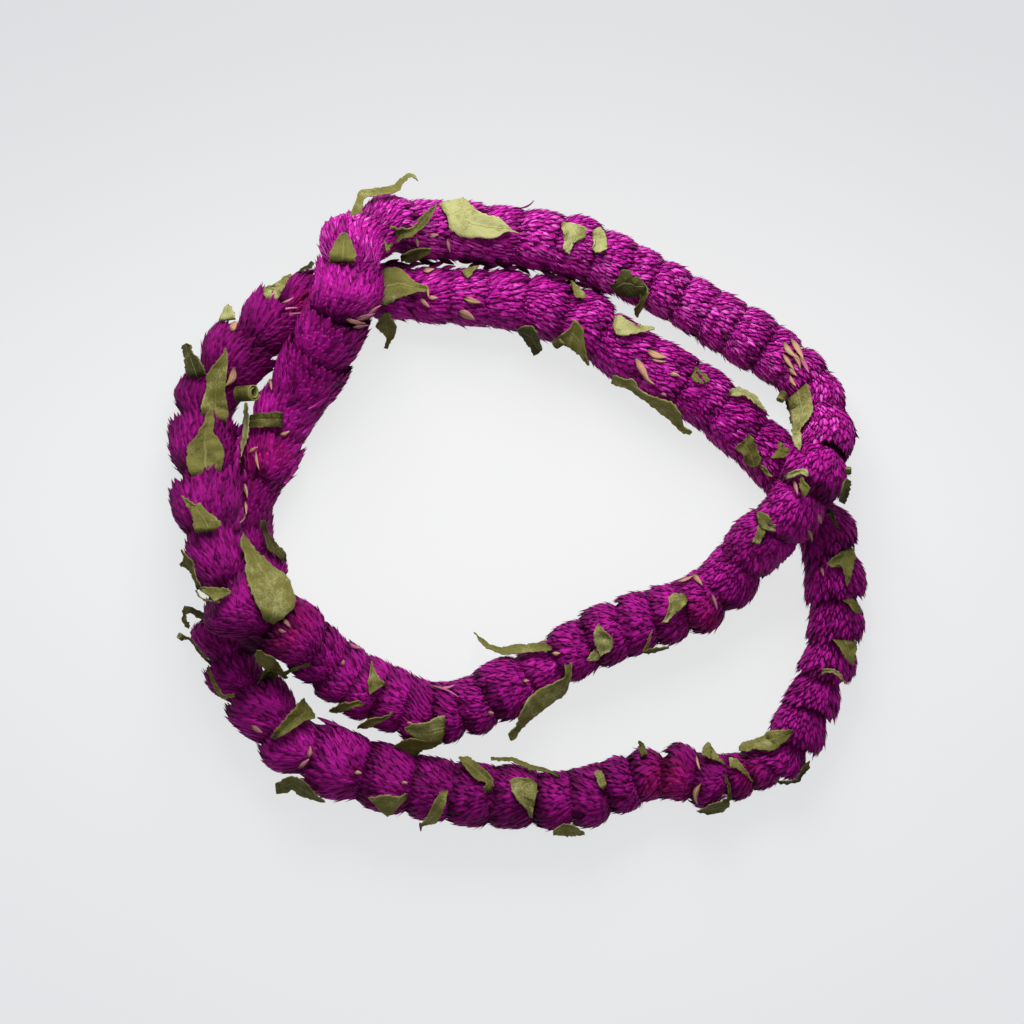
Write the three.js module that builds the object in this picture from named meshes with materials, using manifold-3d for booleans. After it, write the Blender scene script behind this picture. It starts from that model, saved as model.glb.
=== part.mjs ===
// Flower lei of globe amaranth heads, strung head to tail on one thread and wound round twice.
// Millimetres, +Z up. It lies flat on z = 0 with the middle of its outline over the origin.
// Travel along the thread is clockwise seen from above, so the left of travel is the outside of the ring.
import * as THREE from "three";
import { mergeVertices } from "three/addons/utils/BufferGeometryUtils.js";
import Module from "manifold-3d";

const wasm = await Module();
wasm.setup();

// Driving dimensions
const SINK = 0.7; // how far the soft heads settle
const FLAT_HEADS = [9, 24, 43, 62, 76]; // heads with a flat underside, on which the lei rests
const CLEAR = 0.35; // gap between one piece and the next
const LEAST_GAP = 0.12; // pieces nearer than this are cut back to the gap above
const BRACTS_ROUND = 5; // bracts in each ring of a head
const FRINGE = 1.6; // how far a head's tips reach past the joint with the next head
const BASE_REACH = 2.0; // how far a head's base is sunk into the head before it
const BASE_REACH_FIRST = 0.7; // the same for the first head of a run, which is only nested in
const SKIN_BEND = 12; // degrees of bend between two heads up to which one skin runs over both
const THREAD_RADIUS = 0.5;
const THREAD_SIDES = 3;
const THREAD_STEPS = 72;
const KNOT_RADIUS = 1.3;
const BLADE = 0.64; // thickness of a leaf
const LEAF_GAP = 0.9; // clear height of a leaf's face over the heads
const COLLAR_WIDTH = 0.9; // the strip round the neck of a head that joins its two leaves
const COLLAR_STEP = 40; // most degrees that one straight piece of it spans
const CORNERS = [[-1, -1], [1, -1], [1, 1], [-1, 1]]; // of its cross-section: along, outward
const HEADS_IN_RUN = 5;
const SAMPLES_PER_HEAD = 40; // steps in which the route's length is measured
const RANDOM_SEED = 20417;

// One row for each flower head, in the order of the thread: x, y of its middle, how far it is lifted
// off the surface, and its radius.
const TOP_OUTER = [
  [-41.5, 64.5, 11.5, 8.2],
  [-32.5, 70, 2.5, 7.3],
  [-23, 68.5, 0, 7.5],
  [-13.5, 68, 0, 7.5],
  [-4.5, 67, 0, 7.5],
  [5, 66, 0, 7.6],
  [15, 64, 0, 8],
  [22.5, 60.5, 0, 7.7],
  [30, 57, 0, 7.2],
  [37, 53.5, 0, 7],
  [44, 49.5, 0, 7],
  [50.5, 45.5, 0, 7.3],
  [57.5, 41.5, 0, 7.6],
  [64.5, 37, 0, 7],
  [70, 33, 0, 6.8],
  [75, 26.5, 1.5, 6.5],
  [77, 17, 8.5, 7],
];
const RIGHT_CROSSING_OVER = [
  [73.5, 7, 15.5, 7.8],
  [68, -2.5, 14, 7.3],
  [59.5, -10, 5.5, 7.5],
  [52.5, -19, 0, 7.5],
];
const BOTTOM_INNER = [
  [45, -25, 0, 7.7],
  [37.5, -27.5, 0, 7.5],
  [30, -29.5, 0, 7.7],
  [22, -32.5, 0, 7.7],
  [14, -36.5, 0, 7.2],
  [6.5, -41, 0, 6.3],
  [-4, -46.5, 0, 7.8],
  [-11.5, -50.5, 0, 7.5],
  [-18, -52, 0, 7.7],
  [-24.5, -52, 0, 8.2],
  [-31, -49, 0, 8.2],
  [-38, -46, 0, 8.2],
  [-44.5, -42, 0, 8],
  [-49.5, -38, 2.5, 7.7],
];
const LEFT_CROSSING_OVER = [
  [-55, -32, 9.5, 8],
  [-67.5, -25, 15.5, 8.2],
  [-74, -14, 11.5, 8],
];
const LEFT_OUTER = [
  [-77, 0, 8.5, 9],
  [-78.5, 13, 3, 8.4],
  [-78.5, 25, 0, 8],
  [-72, 37, 0, 8.2],
  [-63, 46, 0, 7.8],
  [-54, 51.5, 0, 6.5],
];
const TOP_INNER = [
  [-43.5, 53.5, 0, 6.7],
  [-31, 53, 0, 7],
  [-21.5, 52, 0, 7],
  [-12, 51.5, 0, 7.2],
  [-2.5, 51, 0, 7.5],
  [7, 49, 0, 8],
  [16.5, 46, 0, 7.7],
  [26, 38.5, 0, 7.5],
  [36.5, 32.5, 0, 7.7],
  [46, 27, 0, 7.5],
  [54, 20.5, 0, 7.5],
  [62, 13, 0, 7.2],
  [69.5, 4, 0, 7],
];
const RIGHT_SIDE = [
  [77, -6.5, 0, 7.5],
  [79, -18, 0, 7.8],
  [79.5, -29, 0, 7.1],
  [78, -38.5, 0, 7],
  [74.5, -47, 0, 6.8],
  [70.5, -55.5, 0, 7.2],
  [67, -63, 0, 6.3],
];
const BOTTOM_OUTER = [
  [59.5, -66, 0, 5.6],
  [54.5, -68, 0, 5.8],
  [47.5, -69.5, 0, 6.8],
  [39.5, -66.5, 0, 7],
  [32, -67.5, 0, 6.5],
  [25.5, -70, 0, 7],
  [18, -73, 0, 7.6],
  [8.5, -74, 0, 7.1],
  [-1, -73, 0, 8],
  [-11.5, -72.5, 0, 8],
  [-22, -71, 0, 8],
  [-32.5, -68.5, 0, 8.5],
  [-44.5, -65, 0, 9],
  [-57, -60, 0, 7.8],
  [-64, -50.5, 0, 8.2],
  [-71, -42.5, 0, 7],
  [-74.5, -34, 0, 7.5],
];
const LEFT_CROSSING_UNDER = [
  [-68, -25, 0, 7.2],
  [-61.5, -17, 0, 7.2],
  [-63, -8, 0, 6.8],
  [-65, 1, 0, 6.8],
];
const LEFT_INNER = [
  [-62, 12, 0, 7.7],
  [-58.5, 22, 0, 8],
  [-52, 32.5, 1.5, 9],
  [-46.5, 43.5, 10, 8.7],
  [-42, 53.5, 15.5, 8.7],
];
const HEADS = [
  ...TOP_OUTER,
  ...RIGHT_CROSSING_OVER,
  ...BOTTOM_INNER,
  ...LEFT_CROSSING_OVER,
  ...LEFT_OUTER,
  ...TOP_INNER,
  ...RIGHT_SIDE,
  ...BOTTOM_OUTER,
  ...LEFT_CROSSING_UNDER,
  ...LEFT_INNER,
];

// One row for each leaf: the number of the head it grows under, the angle round the strand where it
// comes out (0 outside the ring, 90 on top, 180 inside), its length and width, the angle its line
// turns away from the strand's, the height its tip stands off, and the angle its tip is twisted. At a
// sharp bend one more number says how much deeper the leaf starts.
const LEAVES = [
  [1, 80, 9, 7, 0, 0.5, 0, 2],
  [2, 12, 18, 6, 0, 4.5, 50],
  [2, 115, 15, 7, -22, 1.2, 35],
  [4, 52, 19.5, 10, 12, 1.2, 0],
  [7, 78, 7.5, 8, 5, 0.6, 0],
  [9, 135, 9.5, 8, 8, 0.8, 15],
  [16, 128, 17, 5.5, 10, 1.5, 0],
  [18, 118, 7, 5.5, 20, 1.5, 40],
  [18, 5, 9.5, 5, 0, 1.2, 0],
  [20, 135, 7.5, 4.5, -5, 0.8, 0],
  [23, 105, 8, 5.5, -25, 0.8, 0],
  [25, 72, 8, 5.5, -20, 1, 0],
  [27, 160, 21, 6.5, -4, 4, 30],
  [27, 15, 21, 8, 0, 6.5, 0],
  [31, 58, 11, 8, 0, 0.8, 0],
  [31, 12, 13, 6.5, -4, 1.5, 20],
  [33, 100, 7.5, 4.5, 50, 0.8, 0],
  [33, 30, 8.5, 4, 0, 0.8, 0],
  [34, 30, 8.5, 4.5, 0, 0.8, 0],
  [36, 15, 12, 6, 0, 1, 10],
  [37, 135, 22, 10.5, 12, 1.2, 0],
  [38, 8, 12, 5, -5, 2, 40, 1.25],
  [39, 80, 9.5, 8, -25, 0.8, 10],
  [40, 88, 14.5, 9, 0, 1, 0],
  [41, 112, 19, 6.5, -8, 1, 0],
  [42, 15, 10.5, 5.5, -10, 2.5, 0],
  [43, 15, 7, 5, -20, 1.5, 0],
  [44, 20, 9, 7, -5, 1.5, 15],
  [46, 92, 14, 9.5, 0, 1.5, 0],
  [46, 175, 10, 5, 25, 6, 30],
  [50, 165, 9, 5.5, 30, 4.5, 0],
  [51, 150, 11, 7.5, 18, 2, 0],
  [52, 45, 10.5, 6, -12, 2.5, 0],
  [53, 178, 19, 5.5, 0, 1.5, 30],
  [55, 12, 9.5, 4, 0, 1, 0],
  [56, 118, 9, 6.5, 15, 0.8, 0],
  [56, 52, 9.5, 5, -6, 0.8, 0],
  [59, 85, 9, 7, 0, 0.8, 0],
  [60, 40, 6.5, 5, 0, 0.8, 20],
  [61, 55, 7, 5, 0, 0.8, 0],
  [64, 112, 14.5, 6, 27, 2, 0],
  [64, 5, 9.5, 6, 0, 1, 0],
  [67, 148, 7, 4.5, 22, 2, 0],
  [67, 25, 8.5, 4.5, -5, 0.8, 0],
  [73, 100, 7, 8, -40, 0.8, 0],
  [73, 172, 11, 5, 0, 1, 0],
  [74, 118, 10.5, 6, 22, 1.5, 20],
  [75, 75, 10.5, 5.5, -38, 0.8, 0],
  [76, 42, 10, 6.5, 0, 0.8, 0],
  [78, 0, 11.5, 6.5, -5, 1.8, 0, 0.9],
  [79, 105, 12.5, 6, 75, 1.5, 0],
];

const GROUND = { width: 400, depth: 40 }; // the block that flattens the undersides

// Profile of a head between its base (0) and its tips (1): along, radius as a share of the head's.
// The base is a radius only.
const PROFILE = {
  base: 0.4,
  rings: [
    { tips: [0.42, 0.86], notches: [0.25, 0.8], under: [0.22, 0.66] },
    { tips: [0.72, 0.97], notches: [0.55, 0.92], under: [0.52, 0.78] },
    { tips: [1, 1], notches: [0.84, 0.97], under: [0.8, 0.52] },
  ],
};
const TIP_SCATTER = [0.05, 0.05]; // random part of a tip's place, along and out
const TURN_SCATTER = 0.35; // random part of the turn from one head to the next, in bracts

// Outline of a leaf: share of its length, share of its width.
const LEAF_OUTLINE = [
  [0.35, 0.95],
  [0.7, 0.85],
  [1, 0.14],
];
// Where a leaf starts under the tips of the head before, and where it comes out past them
const LEAF_ROOT = { along: 0.6, width: 0.3, out: 0.71 };
const LEAF_SHOULDER = { along: 2.3, width: 0.55, out: 0.87 };
const LEAF_CUP = 0.08; // how far the sides of a leaf bend towards the head, as a share of its width

// Materials
const matte = (color, roughness) =>
  new THREE.MeshStandardMaterial({ color, roughness, metalness: 0, flatShading: true });
const bloomMaterial = () => matte(0x9a1186, 0.6);
const leafMaterial = () => matte(0x7f8544, 0.7);
const threadMaterial = () => matte(0xd9d2c0, 0.8);

// A seeded random number from 0 to 1
let randomState = RANDOM_SEED;
const random = () => {
  randomState = (Math.imul(randomState, 1664525) + 1013904223) >>> 0;
  return randomState / 4294967296;
};
const spread = (size) => (random() * 2 - 1) * size;

// Closed solids
const solidOf = (vertices, triangles) =>
  new wasm.Manifold(
    new wasm.Mesh({
      numProp: 3,
      vertProperties: new Float32Array(vertices.flatMap((v) => v.toArray())),
      triVerts: new Uint32Array(triangles.flat()),
    }),
  );
const solidOfGeometry = (geometry) => {
  geometry.deleteAttribute("normal");
  geometry.deleteAttribute("uv");
  const merged = mergeVertices(geometry, 1e-3);
  return new wasm.Manifold(
    new wasm.Mesh({
      numProp: 3,
      vertProperties: merged.attributes.position.array,
      triVerts: new Uint32Array(merged.index.array),
    }),
  );
};
const joined = (solids) => solids.reduce((all, one) => all.add(one));
const largestBody = (solid) =>
  solid.decompose().reduce((most, body) => (body.volume() > most.volume() ? body : most));
const meshOf = (solid, name, material) => {
  const { vertProperties, triVerts } = solid.getMesh();
  const geometry = new THREE.BufferGeometry();
  geometry.setAttribute("position", new THREE.BufferAttribute(vertProperties, 3));
  geometry.setIndex(new THREE.BufferAttribute(triVerts, 1));
  const mesh = new THREE.Mesh(geometry, material);
  mesh.name = name;
  return mesh;
};

// The strand: head middles, the joints between them, and a smooth route through both
const count = HEADS.length;
const middles = HEADS.map(([x, y, lift, radius]) => new THREE.Vector3(x, y, radius - SINK + lift));
const radii = HEADS.map((row) => row[3]);
const before = (i) => (i + count - 1) % count;
const after = (i) => (i + 1) % count;
const joints = middles.map((middle, i) => middles[before(i)].clone().lerp(middle, 0.5));
const route = new THREE.CatmullRomCurve3(
  middles.flatMap((middle, i) => [joints[i], middle]),
  true,
  "catmullrom",
);
route.arcLengthDivisions = count * SAMPLES_PER_HEAD;
const routeLengths = route.getLengths();
const routeLength = routeLengths.at(-1);
const lengthAtJoint = (i) => routeLengths[i * SAMPLES_PER_HEAD];
const lengthAtMiddle = (i) => routeLengths[(i + 0.5) * SAMPLES_PER_HEAD];
const shareAt = (length) => THREE.MathUtils.euclideanModulo(length / routeLength, 1);

// The frame of a direction of travel: left of it, and up as near as it allows
const frameAlong = (along) => {
  const up = new THREE.Vector3(0, 0, 1);
  up.addScaledVector(along, -up.dot(along)).normalize();
  const left = up.clone().cross(along);
  return { along, up, left };
};
const outward = (frame, angle) =>
  frame.left
    .clone()
    .multiplyScalar(Math.cos(angle))
    .addScaledVector(frame.up, Math.sin(angle));

// How far each head is turned, in bracts, and where each bract's tip is scattered to. Each ring of
// bracts is turned half a bract on from the one before, on into the next head.
let headTurn = 0;
const headDraws = HEADS.map(() => {
  headTurn += PROFILE.rings.length / 2 + spread(TURN_SCATTER);
  const tips = PROFILE.rings.map(() => Array.from({ length: BRACTS_ROUND }, () => TIP_SCATTER.map(spread)));
  return { turn: headTurn, tips };
});

const headFrames = HEADS.map((_, i) => frameAlong(joints[after(i)].clone().sub(joints[i]).normalize()));

// Flower heads in a row, in one skin: rings of pointed bracts, each ring lapping over the next
function headsSolid(first, last, grow = 0) {
  const vertices = [];
  const triangles = [];
  const step = (2 * Math.PI) / BRACTS_ROUND;
  const next = (k) => (k + 1) % BRACTS_ROUND;
  const previous = (k) => (k + BRACTS_ROUND - 1) % BRACTS_ROUND;
  const ring = (pointOf) => Array.from({ length: BRACTS_ROUND }, (_, k) => vertices.push(pointOf(k)) - 1);
  const point = (i, length, share, angle) => {
    const direction = outward(headFrames[i], angle);
    const place = route.getPointAt(shareAt(length)).addScaledVector(direction, share * radii[i]);
    if (!FLAT_HEADS.includes(i + 1)) place.z = Math.max(place.z, 0);
    return place.addScaledVector(direction, grow);
  };
  const reach = first % HEADS_IN_RUN === 0 ? BASE_REACH_FIRST : BASE_REACH;
  const low = lengthAtJoint(first) - reach - grow;
  let lower = ring((k) => point(first, low, PROFILE.base, (headDraws[first].turn + k - 0.5) * step));
  const baseRing = lower;
  for (let i = first; i <= last; i++) {
    const { turn, tips: tipDraws } = headDraws[i];
    const start = lengthAtJoint(i) - BASE_REACH_FIRST;
    const end = lengthAtJoint(i + 1) + FRINGE;
    PROFILE.rings.forEach(({ tips, notches, under }, row) => {
      const isFringe = row === PROFILE.rings.length - 1;
      const place = (fraction) => THREE.MathUtils.lerp(start, end, fraction) + (isFringe ? 2 * grow : 0);
      const shift = turn + row / 2;
      const tipRing = ring((k) => {
        const [alongDraw, outDraw] = tipDraws[row][k];
        return point(i, place(tips[0] + alongDraw), tips[1] + outDraw, (shift + k) * step);
      });
      const notchRing = ring((k) => point(i, place(notches[0]), notches[1], (shift + k + 0.5) * step));
      const underRing = ring((k) => point(i, place(under[0]), under[1], (shift + k) * step));
      for (let k = 0; k < BRACTS_ROUND; k++) {
        const n = next(k);
        triangles.push(
          [lower[k], lower[n], tipRing[k]],
          [lower[k], tipRing[k], notchRing[previous(k)]],
          [lower[n], notchRing[k], tipRing[k]],
          [tipRing[k], notchRing[k], underRing[k]],
          [notchRing[k], underRing[n], underRing[k]],
          [notchRing[k], tipRing[n], underRing[n]],
        );
      }
      lower = underRing;
    });
  }
  for (let k = 1; k < BRACTS_ROUND - 1; k++) {
    triangles.push([baseRing[0], baseRing[k + 1], baseRing[k]], [lower[0], lower[k], lower[k + 1]]);
  }
  return solidOf(vertices, triangles);
}

// A run of heads: the stretches that one skin can cover, fused where the thread bends sharply
function runOfHeads(first, last) {
  const stretches = [];
  let start = first;
  for (let i = first; i <= last; i++) {
    const bend = headFrames[i].along.angleTo(headFrames[after(i)].along);
    if (i < last && bend <= THREE.MathUtils.degToRad(SKIN_BEND)) continue;
    stretches.push(headsSolid(start, i));
    start = i + 1;
  }
  return joined(stretches);
}

// The thread, or the bore it runs in: two tubes that meet end in end
function strandTube(radius) {
  const section = new THREE.Shape(
    Array.from({ length: THREAD_SIDES }, (_, k) => {
      const angle = (k * 2 * Math.PI) / THREAD_SIDES;
      return new THREE.Vector2(radius * Math.cos(angle), radius * Math.sin(angle));
    }),
  );
  const spaced = route.getSpacedPoints(THREAD_STEPS);
  const halfWay = THREAD_STEPS / 2;
  const stretches = [spaced.slice(0, halfWay + 1), spaced.slice(halfWay)];
  return joined(
    stretches.map((points) => {
      const path = new THREE.CurvePath();
      points.slice(1).forEach((point, k) => path.add(new THREE.LineCurve3(points[k], point)));
      path.autoClose = false;
      const options = { steps: points.length - 1, extrudePath: path, bevelEnabled: false };
      return solidOfGeometry(new THREE.ExtrudeGeometry(section, options));
    }),
  );
}
const knot = (grow) => {
  const ball = new THREE.IcosahedronGeometry(KNOT_RADIUS + grow, 0);
  ball.translate(joints[0].x, joints[0].y, joints[0].z);
  return solidOfGeometry(ball);
};

// A place on the strand, a distance past a joint, and one beside it, at an angle and a distance out
function onStrand(joint, past) {
  const share = shareAt(lengthAtJoint(joint) + past);
  return { point: route.getPointAt(share), frame: frameAlong(route.getTangentAt(share)) };
}
function besideStrand(joint, past, angle, out) {
  const { point, frame } = onStrand(joint, past);
  const direction = outward(frame, angle);
  return { point: point.addScaledVector(direction, out), direction, frame };
}
function strandRadius(joint, past) {
  const at = THREE.MathUtils.euclideanModulo(lengthAtJoint(joint) + past, routeLength);
  let i = 0;
  while (i < count - 1 && lengthAtMiddle(i + 1) < at) i++;
  if (at < lengthAtMiddle(0)) return radii[0];
  const here = lengthAtMiddle(i);
  const there = i + 1 < count ? lengthAtMiddle(i + 1) : routeLength;
  return THREE.MathUtils.lerp(radii[i], radii[after(i)], (at - here) / (there - here));
}

// The strip round the neck of a head that joins its leaves
function collarSolid(head, fromDeg, toDeg, grow = 0) {
  const joint = head - 1;
  const out = LEAF_ROOT.out * strandRadius(joint, LEAF_ROOT.along);
  const steps = Math.ceil((toDeg - fromDeg) / COLLAR_STEP);
  const corners = CORNERS.length;
  const vertices = [];
  const triangles = [];
  const quad = (a, b, c, d) => triangles.push([a, b, c], [a, c, d]);
  for (let k = 0; k <= steps; k++) {
    const angle = THREE.MathUtils.degToRad(THREE.MathUtils.lerp(fromDeg, toDeg, k / steps));
    const { point, direction, frame } = besideStrand(joint, LEAF_ROOT.along, angle, out);
    for (const [a, d] of CORNERS) {
      vertices.push(
        point
          .clone()
          .addScaledVector(frame.along, a * (COLLAR_WIDTH / 2 + grow))
          .addScaledVector(direction, d * (BLADE / 2 + grow)),
      );
    }
    if (k === steps) break;
    for (let s = 0; s < corners; s++) {
      const n = (s + 1) % corners;
      quad(corners * k + s, corners * k + n, corners * (k + 1) + n, corners * (k + 1) + s);
    }
  }
  const end = corners * steps;
  quad(0, 3, 2, 1);
  quad(end, end + 1, end + 2, end + 3);
  return solidOf(vertices, triangles);
}

// Cross-sections of a leaf: each has a place, the way out from the strand, a width and a twist
function leafStations([head, angleDeg, length, width, swayDeg, rise, twistDeg, deeper = 0]) {
  const joint = head - 1;
  const angle = THREE.MathUtils.degToRad(angleDeg);
  const sway = THREE.MathUtils.degToRad(swayDeg);
  const twist = THREE.MathUtils.degToRad(twistDeg);
  const rootRadius = strandRadius(joint, LEAF_ROOT.along);
  const face = LEAF_GAP + BLADE / 2;
  const station = (past, turn, out, wide, twisted) => ({
    ...besideStrand(joint, past, turn, out),
    wide: wide * width,
    twisted,
  });
  const reachOf = (share) => (length - LEAF_SHOULDER.along) * share;
  const blade = LEAF_OUTLINE.map(([share, wide]) => {
    const past = LEAF_SHOULDER.along + reachOf(share) * Math.cos(sway);
    const out = strandRadius(joint, past) + face + rise * share * share;
    return station(past, angle + (reachOf(share) * Math.sin(sway)) / out, out, wide, twist * share);
  });
  return [
    station(LEAF_ROOT.along, angle, LEAF_ROOT.out * rootRadius - deeper, LEAF_ROOT.width, 0),
    station(LEAF_SHOULDER.along, angle, LEAF_SHOULDER.out * rootRadius, LEAF_SHOULDER.width, 0),
    ...blade,
  ];
}

// A leaf: a pointed blade that starts between two heads and lies along the second one. Three points
// on each face make a cross-section of it.
function leafSolid(row, grow = 0) {
  const stations = leafStations(row);
  const last = stations.length - 1;
  const sides = [-1, 0, 1];
  const faces = [1, -1];
  const vertices = stations.flatMap(({ point, direction, wide, twisted }, k) => {
    const from = stations[Math.max(k - 1, 0)].point;
    const to = stations[Math.min(k + 1, last)].point;
    const along = to.clone().sub(from).normalize();
    const across = along.clone().cross(direction).normalize().applyAxisAngle(along, twisted);
    const normal = across.clone().cross(along).normalize();
    const section = (extra) => {
      const endways = k === 0 ? -extra : k === last ? extra : 0;
      return sides.flatMap((side) =>
        faces.map((face) =>
          point
            .clone()
            .addScaledVector(along, endways)
            .addScaledVector(across, side * (wide / 2 + extra))
            .addScaledVector(normal, face * (BLADE / 2 + extra) - Math.abs(side) * LEAF_CUP * wide),
        ),
      );
    };
    const lowest = Math.min(0, ...section(0).map((v) => v.z));
    return section(grow).map((v) => v.setZ(v.z - lowest));
  });
  const perSection = sides.length * faces.length;
  const triangles = [];
  const quad = (a, b, c, d) => triangles.push([a, b, c], [a, c, d]);
  for (let a = 0; a < last * perSection; a += perSection) {
    const b = a + perSection;
    for (const s of [0, 2]) {
      quad(a + s, a + s + 2, b + s + 2, b + s);
      quad(a + s + 1, b + s + 1, b + s + 3, a + s + 3);
    }
    quad(a + 1, a, b, b + 1);
    quad(a + 4, a + 5, b + 5, b + 4);
  }
  const end = last * perSection;
  quad(0, 1, 3, 2);
  quad(2, 3, 5, 4);
  quad(end, end + 2, end + 3, end + 1);
  quad(end + 2, end + 4, end + 5, end + 3);
  return solidOf(vertices, triangles);
}

// Assembly
const lei = new THREE.Group();
const twoDigits = (number) => String(number).padStart(2, "0");
const boxesMeet = (a, b) => {
  const p = a.boundingBox();
  const q = b.boundingBox();
  return [0, 1, 2].every((axis) => p.min[axis] < q.max[axis] && q.min[axis] < p.max[axis]);
};

const thread = strandTube(THREAD_RADIUS).add(knot(0));
const bore = strandTube(THREAD_RADIUS + CLEAR / Math.cos(Math.PI / THREAD_SIDES)).add(knot(CLEAR));
lei.add(meshOf(thread, "thread", threadMaterial()));

// Leaves, and the shapes that clear a way for them among the bracts
const leafPieces = [];
for (const head of new Set(LEAVES.map((row) => row[0]))) {
  const rows = LEAVES.filter((row) => row[0] === head);
  const pieces = rows.map((row) => ({ solid: leafSolid(row), grown: leafSolid(row, CLEAR) }));
  if (rows.length > 1) {
    const angles = rows.map((row) => row[1]);
    const ends = [Math.min(...angles), Math.max(...angles)];
    pieces.push({ solid: collarSolid(head, ...ends), grown: collarSolid(head, ...ends, CLEAR) });
  }
  leafPieces.push(...pieces);
  const leaves = joined(pieces.map((piece) => piece.solid));
  lei.add(meshOf(leaves, "leaves_at_head_" + twoDigits(head), leafMaterial()));
}
const cutClear = (blooms, { solid, grown }) => {
  const isNear = boxesMeet(blooms, grown) && blooms.minGap(solid, CLEAR) < LEAST_GAP;
  return isNear ? blooms.subtract(grown) : blooms;
};

// Flower heads, fused in runs along the thread, each run cut clear of the runs before it
const ground = new THREE.BoxGeometry(GROUND.width, GROUND.width, GROUND.depth);
ground.translate(0, 0, -GROUND.depth / 2);
const floor = solidOfGeometry(ground);
const heads = HEADS.map((_, i) => ({ solid: headsSolid(i, i), grown: headsSolid(i, i, CLEAR) }));
for (let first = 0; first < count; first += HEADS_IN_RUN) {
  const end = first + HEADS_IN_RUN;
  let blooms = runOfHeads(first, end - 1);
  blooms = heads.slice(0, first).reduce(cutClear, blooms);
  blooms = blooms.subtract(floor).subtract(bore);
  blooms = leafPieces.reduce(cutClear, blooms);
  const name = "blooms_" + twoDigits(first + 1) + "_" + twoDigits(end);
  lei.add(meshOf(largestBody(blooms), name, bloomMaterial()));
}

export default lei;
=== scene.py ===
"""Dressing of a flower lei: globe amaranth heads in papery bracts, curled dry leaves, a twisted thread.

Sizes in the tables are millimetres, +Z up, with the lei lying on z = 0. Travel along the thread is
clockwise seen from above, so the left of travel is the outside of the ring.
"""

import math

import bpy
import numpy as np
from bpy.props import FloatProperty, FloatVectorProperty, PointerProperty
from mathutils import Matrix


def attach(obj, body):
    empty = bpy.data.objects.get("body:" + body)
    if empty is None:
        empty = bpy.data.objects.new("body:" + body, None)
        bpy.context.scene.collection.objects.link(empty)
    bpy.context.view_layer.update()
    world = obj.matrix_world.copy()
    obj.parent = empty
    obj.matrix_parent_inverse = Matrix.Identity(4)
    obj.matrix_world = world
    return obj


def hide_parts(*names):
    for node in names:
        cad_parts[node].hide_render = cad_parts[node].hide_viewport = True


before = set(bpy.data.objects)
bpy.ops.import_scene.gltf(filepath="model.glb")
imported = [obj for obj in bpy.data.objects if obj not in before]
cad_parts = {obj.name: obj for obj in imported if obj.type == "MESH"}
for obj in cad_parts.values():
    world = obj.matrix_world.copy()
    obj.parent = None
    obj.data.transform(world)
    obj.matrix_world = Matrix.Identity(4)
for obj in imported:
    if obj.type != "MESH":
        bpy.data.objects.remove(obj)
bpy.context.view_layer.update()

bl_info = {
    "name": "Flower lei",
    "version": (1, 0, 0),
    "blender": (4, 5, 0),
    "location": "3D View > Sidebar > Lei",
    "description": "Builds the flower heads, leaves and thread of a lei, and a table to see it on",
    "category": "Object",
}

MM = 0.001
BODY = "root"

# Lengths on the lei, in millimetres
SINK = 0.7  # how far the soft heads settle into what they lie on
FRINGE = 0.8  # how far a head's tips reach past the joint with the next head
FIRST_TIPS = 2.1  # how far before a joint the first ring of tips is
DEEPEST_ROOT = 3.2  # how far before a joint the deepest roots are
INNER_STEP = 0.35  # how far each ring inside the fringe is behind the one before it
CORE_DEPTH = 1.15  # how far the dark inside of a head is below its face
CORE_CAP_DEPTH = 3.0  # the same at the two ends of it
LEAF_GAP = 1.4  # clear height of a leaf over the heads
LEAF_ROOT_DEPTH = 1.4  # how far a leaf's root is below the face of its head
EDGE_WEAR = 0.11  # how uneven a leaf's edges are
CREASE = 0.11  # height of the creases across a leaf
RIB_DEPTH = 0.2  # how far a leaf's midrib is sunk, and how far the leaf bends along its length
ODD_GAP = 0.45  # clear height of an odd bract over the heads
ODD_THICKNESS = 0.16
STRETCH = (-8, 26)  # what stretch of the strand, from a head's joint, a leaf or odd bract lies over
KNOT_RADIUS = 0.75
KNOT_STRAND = 0.42
PICTURE_STEP = 0.25  # what one step of the photograph's coordinates measures on the lei

PICTURE_MIDDLE = (518, 504)  # where x = 0, y = 0 is on the photograph
HEADS_IN_RUN = 5
ROUTE_STEPS = 20  # samples of the route from a joint to a middle
CORE_SIDES = 14
CORE_RINGS = 9
CORE_SHADE = 0.7  # how dark the inside of a head is painted, as painted shade that shows between its bracts
BRACT_WIDTHS = ((-0.5, 0.55), (-0.05, 1.0), (0.34, 0.8))  # heights on a bract, and its width there
INNER_RINGS = 3  # rings of tips inside the fringe of a head that is open
OPEN_FROM = 0.35  # how far its tips spread
STRAY = 0.07  # share of the bracts that stand off
DARKER = 0.2  # share of the bracts that are darker
ROLL_TURNS = 1.7  # turns of a rolled leaf
PLY_SIDES = 5
PLY_STEPS = 4  # rings of corners in each turn of a ply
SEED = 20417
LEAF_SEED = SEED + 1000
ODD_SEED = SEED + 2000

# Colours that the settings leave out, among them a painted glint and a painted shade colour
PAINTED_GLINT = (0.90, 0.26, 0.78, 1)
PAINTED_SHADE_COLOUR = (0.018, 0.0, 0.008, 1)
THREAD_SHADE = (0.42, 0.37, 0.28, 1)
TABLE_GLOW = (0.72, 0.73, 0.725, 1)
TABLE_GLOW_FAR = (0.66, 0.67, 0.69, 1)

# Table, lights and camera: places and sizes in metres. Each light has its name, place, size, power
# and colour.
VIEW_MIDDLE = (-1.5 * MM, -2 * MM)
SENSOR_WIDTH = 36
FARTHEST_SEEN = 50
SKY_LIGHT = 0.2
LIGHTS = (
    ("key", (-0.02, 0.30, 0.26), 0.25, 1.9, (1, 0.98, 0.97)),
    ("fill", (0.1, 0.2, 1.4), 0.8, 2.0, (0.97, 0.98, 1)),
)

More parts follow.
